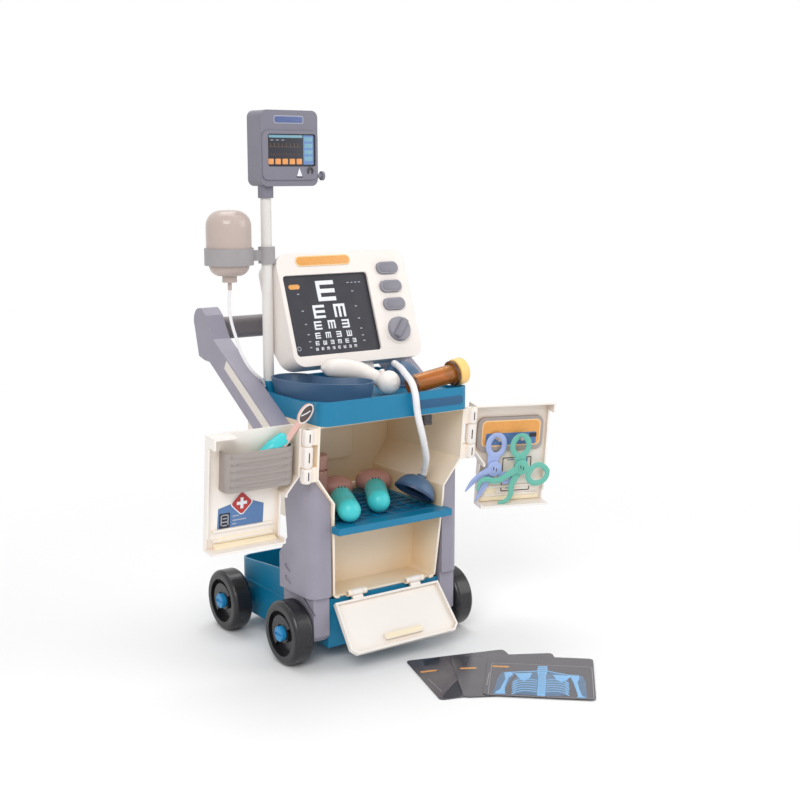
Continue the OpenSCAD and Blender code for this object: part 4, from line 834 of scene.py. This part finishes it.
VIEWER_LABEL = (-30, 141)
CHART_INK_DEPTH = 3.9
KEY_SPOTS = (("upper_button", 126), ("middle_button", 100), ("lower_button", 74.5))


def fork(turn):
    """The common eye-chart fork of three bars and a spine, one unit across."""
    outline = [(-0.5, -0.5), (0.5, -0.5), (0.5, -0.3), (-0.3, -0.3), (-0.3, -0.1), (0.5, -0.1),
               (0.5, 0.1), (-0.3, 0.1), (-0.3, 0.3), (0.5, 0.3), (0.5, 0.5), (-0.5, 0.5)]
    return placed_outline(outline, 0, 0, turn)


chart_rows = (
    (((-31.8, 100.6, 0),), 28),
    (((-48.2, 72.8, 0), (-16, 72.8, 270)), 18),
    (((-53.9, 54.3, 0), (-32.6, 54.5, 270), (-10.7, 54.2, 180)), 11.5),
    (((-57, 40.6, 0), (-41, 40.6, 270), (-24.5, 40.6, 180), (-8, 40.6, 90)), 8),
    (tuple((-60 + 11.6 * k, 30.6, (0, 90, 180, 270, 0, 180)[k]) for k in range(6)), 5.6),
    (tuple((-62 + 8.6 * k, 22.8, (90, 0, 270, 180, 0, 90, 180, 270)[k]) for k in range(8)), 3.8),
)
letters = [placed_outline(fork(turn), u, v, 0, size) for row, size in chart_rows for u, v, turn in row]
flat_piece("eye_chart_forks", letters, front_of(VIEWER, CHART_INK_DEPTH), 0.15, WHITE_INK_AND_GLINT,
           "chart_film_body", CHART_EDGE)

left_marks = ((-75, 98), (-73, 75), (-72, 57), (-71, 43), (-71, 33.5), (-71, 25.5))
right_marks = ((10, 98), (11, 77), (12, 60), (12.5, 46), (13, 36.5), (13.5, 29))
row_marks = [box_outline(u, v, 3.4, 1.4) for u, v in left_marks + right_marks]
row_marks += [box_outline(5 + 6.2 * k, 110, 3.8, 1.1) for k in range(4)]
flat_piece("eye_chart_row_marks", row_marks, front_of(VIEWER, CHART_INK_DEPTH), 0.12, PALE_INK,
           "chart_film_body", CHART_EDGE)
flat_piece("eye_chart_capsule", [box_outline(-79, 108, 17, 6.5, 3.2)], front_of(VIEWER, CHART_INK_DEPTH),
           0.15, ORANGE_INK, "chart_film_body", CHART_EDGE)
flat_piece("eye_chart_ring", [oval_outline(-89, 25.2, 3, 3), oval_outline(-89, 25.2, 2.2, 2.2)],
           front_of(VIEWER, CHART_INK_DEPTH), 0.12, PALE_INK, "chart_film_body", CHART_EDGE)

flat_piece("viewer_label_rim", [box_outline(*VIEWER_LABEL, 85.6, 14, 7)], front_of(VIEWER, -1.2), 0.3,
           SOFT_ORANGE)
flat_piece("viewer_label", [box_outline(*VIEWER_LABEL, 82.6, 11, 5.5)], front_of(VIEWER, -1.5), 0.3,
           ORANGE_INK)

for node, height in KEY_SPOTS:
    on_key = front_of(VIEWER, -4, 70, height)
    flat_piece(f"{node}_face", [box_outline(0, 0, 29, 12, 6)], on_key, 0.35, KEY_FACE,
               f"{node}_body", 0.15)

on_knob = front_of(VIEWER, 0, 69, 39.3)
turned_piece("viewer_knob_seat", [(0, 0.02), (20.2, 0.02), (20.2, 0.5), (19.4, 0.9), (0, 0.9)], on_knob,
             CREAM_TRIM)
dial = turned_piece("viewer_dial", [(0, 0.4), (16.6, 0.4), (17.2, 1), (16.6, 6), (15.8, 6.8), (0, 6.8)],
                    on_knob, KEY_GREY, "knob_body")
dial_grip = soft_block("viewer_dial_grip", (10, 31, 5.4), on_knob @ moved(0, 0, 9) @ turned(-42, "Z"),
                       2.6, KEY_FACE, "knob_body", 4)
for piece in (dial, dial_grip):
    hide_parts("viewer_knob")

# ---- Hinge blocks and the bare label places ----

CART_LEFT_HINGE = CART @ moved(-HINGE_X, HINGE_Y, HINGE_Z) @ LEANING
CART_RIGHT_HINGE = CART @ moved(HINGE_X, HINGE_Y, HINGE_Z) @ LEANING
for side, fixed, door, body in (
    ("left", CART_LEFT_HINGE, LEFT_DOOR, "left_door_body"),
    ("right", CART_RIGHT_HINGE, RIGHT_DOOR, "right_door_body"),
):
    for level, place, rider, low, high in (
        ("upper", fixed, "cart", -22, -1),
        ("middle", door, body, -50, -22.6),
        ("lower", fixed, "cart", -70, -50.6),
    ):
        middle = (low + high) / 2
        soft_block(f"{side}_{level}_hinge_block", (12.6, 12.6, high - low - 0.2),
                   place @ moved(0, 0, middle), 3.1, CREAM_TRIM, rider, 5)
        slot_length = 11 if level != "middle" else 13
        print_on(f"{side}_{level}_hinge_slot", [box_outline(0, middle, 1.6, slot_length, 0.8)],
                 front_of(place, -6.2), DARK_PRINT, rider, 0.2)

print_on("tray_label_place", [box_outline(64, 331.5, 76, 11.5, 5)], front_of(CART, TRAY_FRONT_Y),
         DEEP_BLUE, "cart", 0.4)
arm_side = CART @ moved(-ARM_OUT, 0, 0) @ TO_LEFT
leg_side = CART @ moved(-LEG_OUT, 0, 0) @ TO_LEFT
print_on("leg_groove_line", [stroke([(92, 92), (128, 70)], 1.3)], leg_side, DARK_PRINT, "cart", 0.25)
print_on("arm_label_place", [stroke([(-46, 374), (68, 303)], 13)], arm_side, PALE_STRIP, "cart", 0.3)

# ---- Flap, shelf and cabinet ----

flap_grip = FLAP @ moved(0, -0.55, 67) @ TO_BACK
flat_piece("flap_grip_face", [box_outline(0, 0, 58, 7.6, 3)], flap_grip, 0.5, PALE_BEIGE,
           "flap_body", 0.2)

for k in range(7):
    soft_block(f"shelf_rib_{k + 1}", (148, 3, 1.4), CART @ moved(0, -128 + 17 * k, 185.3), 0.6, DEEP_TEAL)

soft_block("cabinet_back_foot", (168, 10.6, 7), CART @ moved(0, 23.2, 188.2), 0.8, CABINET_CREAM)

# ---- Mallets on the shelf ----

MALLET_SPOTS = (("left_mallet", (-61, -130), (-9, -15)), ("right_mallet", (-3, -112), (56, -12)))
mallet_pieces = []
for name, start, end in MALLET_SPOTS:
    reach = (Vector(end) - Vector(start)).length
    along = aimed(CART, (*start, SHELF_TOOL_Z), (*end, SHELF_TOOL_Z))
    grip = [(15 * math.cos(math.radians(a)), 15 * math.sin(math.radians(a))) for a in range(-90, 1, 9)]
    grip += [(15, 20), (14.8, 21), (15, 22), (15.2, 60)]
    grip += [(15.2 * math.cos(math.radians(a)), 64 + 15.2 * math.sin(math.radians(a)))
             for a in range(10, 91, 10)]
    handle = turned_piece(f"{name}_handle", [(max(r, 0), h) for r, h in grip], along, TURQUOISE,
                          "mallets_body")
    egg = [(17 * math.cos(math.radians(a)) ** 0.9 if abs(a) < 90 else 0, 25 * math.sin(math.radians(a)))
           for a in range(-90, 91, 9)]
    across = along @ moved(0, 0, reach) @ turned(90, "Y") @ Matrix.Diagonal((0.94, 0.92, 1, 1))
    head = turned_piece(f"{name}_head", egg, across, PINK, "mallets_body")
    neck = turned_piece(f"{name}_neck", [(0, 0), (6.4, 0), (6.4, 26), (0, 26)], along @ moved(0, 0, 72), PINK,
                        "mallets_body")
    mallet_pieces += [handle, head, neck]
    for k in (-1, 0, 1):
        soft_block(f"{name}_mark_{k + 2}", (1.4, 6, 1.4), along @ moved(4.2 * k, 14.2, 62), 0.6, DARK_CATCH,
                   "mallets_body")
for piece in mallet_pieces:
    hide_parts("mallets")

# ---- Mirror with painted reflection and glint, mask rim and amber bottle's flange ----

lean_of_mirror = math.degrees(math.atan2(-60 - 17, -62))
mirror_turn = front_of(LEFT_DOOR, MIRROR_FACE_Y, 0, 17, lean_of_mirror)
print_on("mirror_rim", [oval_outline(0, 0, 13.8, 8.3), oval_outline(0, 0, 12, 6.5)],
         mirror_turn @ moved(0, 0, 1), CREAM_TRIM, "hand_mirror_body", 0.3)
# Painted reflection: the mirror glass is a flat dark colour that stands in for what it reflects.
print_on("mirror_glass", [oval_outline(0, 0, 11.8, 6.3)], mirror_turn, MIRROR_REFLECTION,
         "hand_mirror_body", 0.25)
# Painted highlight: a white stroke stands in for light glinting on the mirror.
print_on("mirror_glint", [stroke([(-6.5, 3.2), (-1, 0.6), (5.5, -3.6)], 1.5)],
         mirror_turn @ moved(0, 0, 0.25), WHITE_INK_AND_GLINT, "hand_mirror_body", 0.12)

mask_place = aimed(CART, (57, -108, 203), (71.8, -106, 223.9))
dome = [(0, 20), (13, 18), (19, 14), (23, 9), (25, 4), (25.4, 0), (28, 0), (28, 2.5), (27.2, 6), (25, 11),
        (20.8, 16.6), (14, 20.8), (7, 22.6), (6.6, 25), (0, 25.2)]
dome_piece = turned_piece("mask_dome", dome, mask_place, SLATE)
rim_piece = turned_piece("mask_soft_rim",
                         [(25.2, 0.4), (25, -0.8), (28.2, -1), (28.9, 0.6), (28.4, 2.8), (27.6, 3)],
                         mask_place, DEEP_SLATE)
cushion = turned_piece("mask_cushion", [(17, 4), (20, 1.4), (25.3, 0.9), (25.3, 3.6), (21, 6), (17.4, 6)],
                       mask_place, DEEP_SLATE)
for piece in (dome_piece, rim_piece, cushion):
    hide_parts("mask")

# ---- Ultrasound probe ----

probe_points = [(-55, -57, 374.5), (-46, -59, 374.5), (-28, -65, 373), (-8, -75, 369), (3, -88, 363.5),
                (9, -101, 359), (11, -115, 357.2), (11.5, -126, 356.8), (11.6, -130.4, 356.8)]
probe_body = rod("probe_grip_and_head", probe_points, [3, 11, 13.5, 12, 9.4, 11.4, 15.8, 10.4, 1], CART,
                 CREAM_TRIM, "probe_body", 8, False, 7)
probe_button = turned_piece("probe_button", [(0, -3), (3.4, -3), (3.6, 2.6), (2.6, 3.6), (0, 4)],
                            aimed(CART, (9, -103, 369.5), (8, -101, 380)), CREAM_TRIM,
                            "probe_body")
for piece in (probe_body, probe_button):
    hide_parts("probe")

amber_place = aimed(CART, (34, -131, 353.2), (121, -131, 366))
turned_piece("amber_flange",
             [(12.6, 66.4), (15.4, 66.2), (16.6, 67.2), (16.6, 70.2), (15.4, 71), (12.6, 71)],
             amber_place, AMBER_DARK, "amber_bottle_body")
cap_profile = [(0, 72), (17, 72), (17.8, 72.8), (17.8, 84.6), (16.6, 86.2), (0, 86.6)]
cap_piece = turned_piece("amber_cap_disc", cap_profile, amber_place, CAP_YELLOW,
                         "amber_cap_body")
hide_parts("amber_cap")
turned_piece("amber_band", [(12.45, 1.6), (12.8, 2), (12.8, 5), (12.45, 5.6)], amber_place, AMBER_DARK,
             "amber_bottle_body")

# ---- Prints on the loose films ----

RIGHT_FILM = CART @ moved(101, -316.5, 2.4) @ turned(-42, "Z")
MIDDLE_FILM = CART @ moved(76, -288, 1.6) @ turned(-30, "Z")
LEFT_FILM = CART @ moved(41, -258, 0.8) @ turned(-17.5, "Z")


def on_film(name, outlines, place, ink, body, rise=0.0, thick=0.1):
    return print_on(name, outlines, place @ moved(0, 0, rise), ink, body, thick)


chest = [(-34.4, -27.2), (-31.4, -13.5), (-21.8, 6), (-8.1, 12), (12.6, 14), (29.9, 6), (35.7, -10.2),
         (37.1, -36.4), (34.3, -58.2), (16.3, -63), (-8.4, -63), (-30, -61.4), (-34.1, -44.7)]
arms = [
    [(-30, 9), (-41, 9.6), (-49.1, 2.7), (-52.7, -15.9), (-54.4, -42.8), (-56.8, -62.4), (-44.7, -63),
     (-42, -49.9), (-37.9, -25.3), (-36, -16)],
    [(38, 9), (47.1, 9.6), (53.7, 4.5), (57, -16.7), (57, -38.5), (58, -62.9), (46, -63.4),
     (45.2, -48.4), (40.7, -18.6), (38.5, -8)],
]
on_film("film_chest_tone", [chest, *arms], RIGHT_FILM, RIB_DIM, "right_film_body", 0, 0.08)
ribs = []
for k in range(6):
    drop = 7.4 * k
    ribs.append(stroke([(-3.2, -15 - drop), (-10, -12.6 - drop), (-20, -12.8 - drop), (-28, -17.2 - drop),
                        (-33.2, -25.4 - drop)], 2.2))
    ribs.append(stroke([(7.8, -13.4 - drop), (15, -10.6 - drop), (24, -10.8 - drop), (31.4, -14.3 - drop),
                        (36, -22.5 - drop)], 2.2))
for k, rib in enumerate(ribs):
    on_film(f"film_rib_{k + 1}", [[(u, max(v, -63.4)) for u, v in rib]], RIGHT_FILM, RIB_BLUE,
            "right_film_body", 0.08, 0.08)
bones = {
    "spine": [(-2.3, 33), (9.1, 34), (9.6, 19), (7.6, 0.1), (7.3, -63.6), (-2.6, -63.6), (-1.8, -1),
              (-4, 17.1)],
    "left_scapula": [(-32, 4.7), (-9.7, 9.6), (-12, -6.7), (-18.5, -18.7), (-23.7, -14.8), (-28.3, -4)],
    "right_scapula": [(16.2, 5.7), (40.1, 3.9), (33.1, -10.4), (27.1, -17.8), (20.4, -9.6)],
    "left_upper_arm": [(-45, 6.9), (-35.6, 8), (-33.6, -0.1), (-38.3, -9.7), (-42.3, -41.3), (-41, -62.6),
                       (-54, -63.4), (-52.5, -55.5), (-47.9, -48.5), (-42.5, -14.7)],
    "right_upper_arm": [(37.5, 3.6), (48.6, 5.8), (49.3, -4.1), (46.6, -15.5), (48.7, -39.4), (51.6, -58.4),
                        (57, -63.6), (45, -63.8), (46.7, -58.9), (44.5, -39.9), (41.5, -14)],
    "left_collar_bone": stroke([(-2.9, 15.4), (-16.6, 12.1), (-30.4, 8.9), (-44.1, 5.6)], 3),
    "right_collar_bone": stroke([(9.2, 16.9), (21.2, 11.4), (34.9, 6.6), (48, 2.4)], 3),
}
for k, (name, outline) in enumerate(bones.items()):
    on_film(f"film_{name}", [outline], RIGHT_FILM, RIB_BLUE, "right_film_body", 0.1 + 0.012 * k, 0.08)
on_film("film_vertebrae", [box_outline(2.6, 28 - 6.4 * k, 13 if k < 3 else 8, 1.2) for k in range(14)],
        RIGHT_FILM, RIB_DIM, "right_film_body", 0.22, 0.05)
on_film("film_shadow_ground", [box_outline(2, -14, 128, 104, 4), box_outline(2, -14, 126.6, 102.6, 3.6)],
        RIGHT_FILM, FILM_LINE, "right_film_body", 0, 0.04)
for name, place, body, spot in (
    ("right", RIGHT_FILM, "right_film_body", (-50, 26.2)),
    ("middle", MIDDLE_FILM, "middle_film_body", (-49.5, 24)),
    ("left", LEFT_FILM, "left_film_body", (-51.5, 24)),
):
    on_film(f"{name}_film_capsule", [box_outline(*spot, 22, 4.6, 2.2)], place, ORANGE_INK, body)
on_film("left_film_patch", [[(-45.3, 64.6), (-23, 64.1), (-28.5, 44), (-50, 42.5)]], LEFT_FILM,
        SCREEN_DARK, "left_film_body")
on_film("left_film_shadow",
        [[(-60, -55), (-31, -19), (-25, -14), (-37, -60), (-42, -65.4), (-60, -65.4), (-63, -62)]],
        LEFT_FILM, CHART_DARK, "left_film_body", 0, 0.06)
on_film("middle_film_shadow", [[(-62, 65.6), (-41, 65.6), (-50, 32), (-55.8, 34), (-56, 60)]],
        MIDDLE_FILM, CHART_DARK, "middle_film_body", 0, 0.06)
on_film("left_film_line", [stroke([(-60.7, 0), (-57.6, -43.7)], 0.8)], LEFT_FILM, FILM_LINE,
        "left_film_body", 0.06, 0.05)
on_film("right_film_line", [stroke([(-63.6, 3.3), (-64.6, -38.7)], 0.9)], RIGHT_FILM, FILM_LINE,
        "right_film_body", 0.06, 0.05)
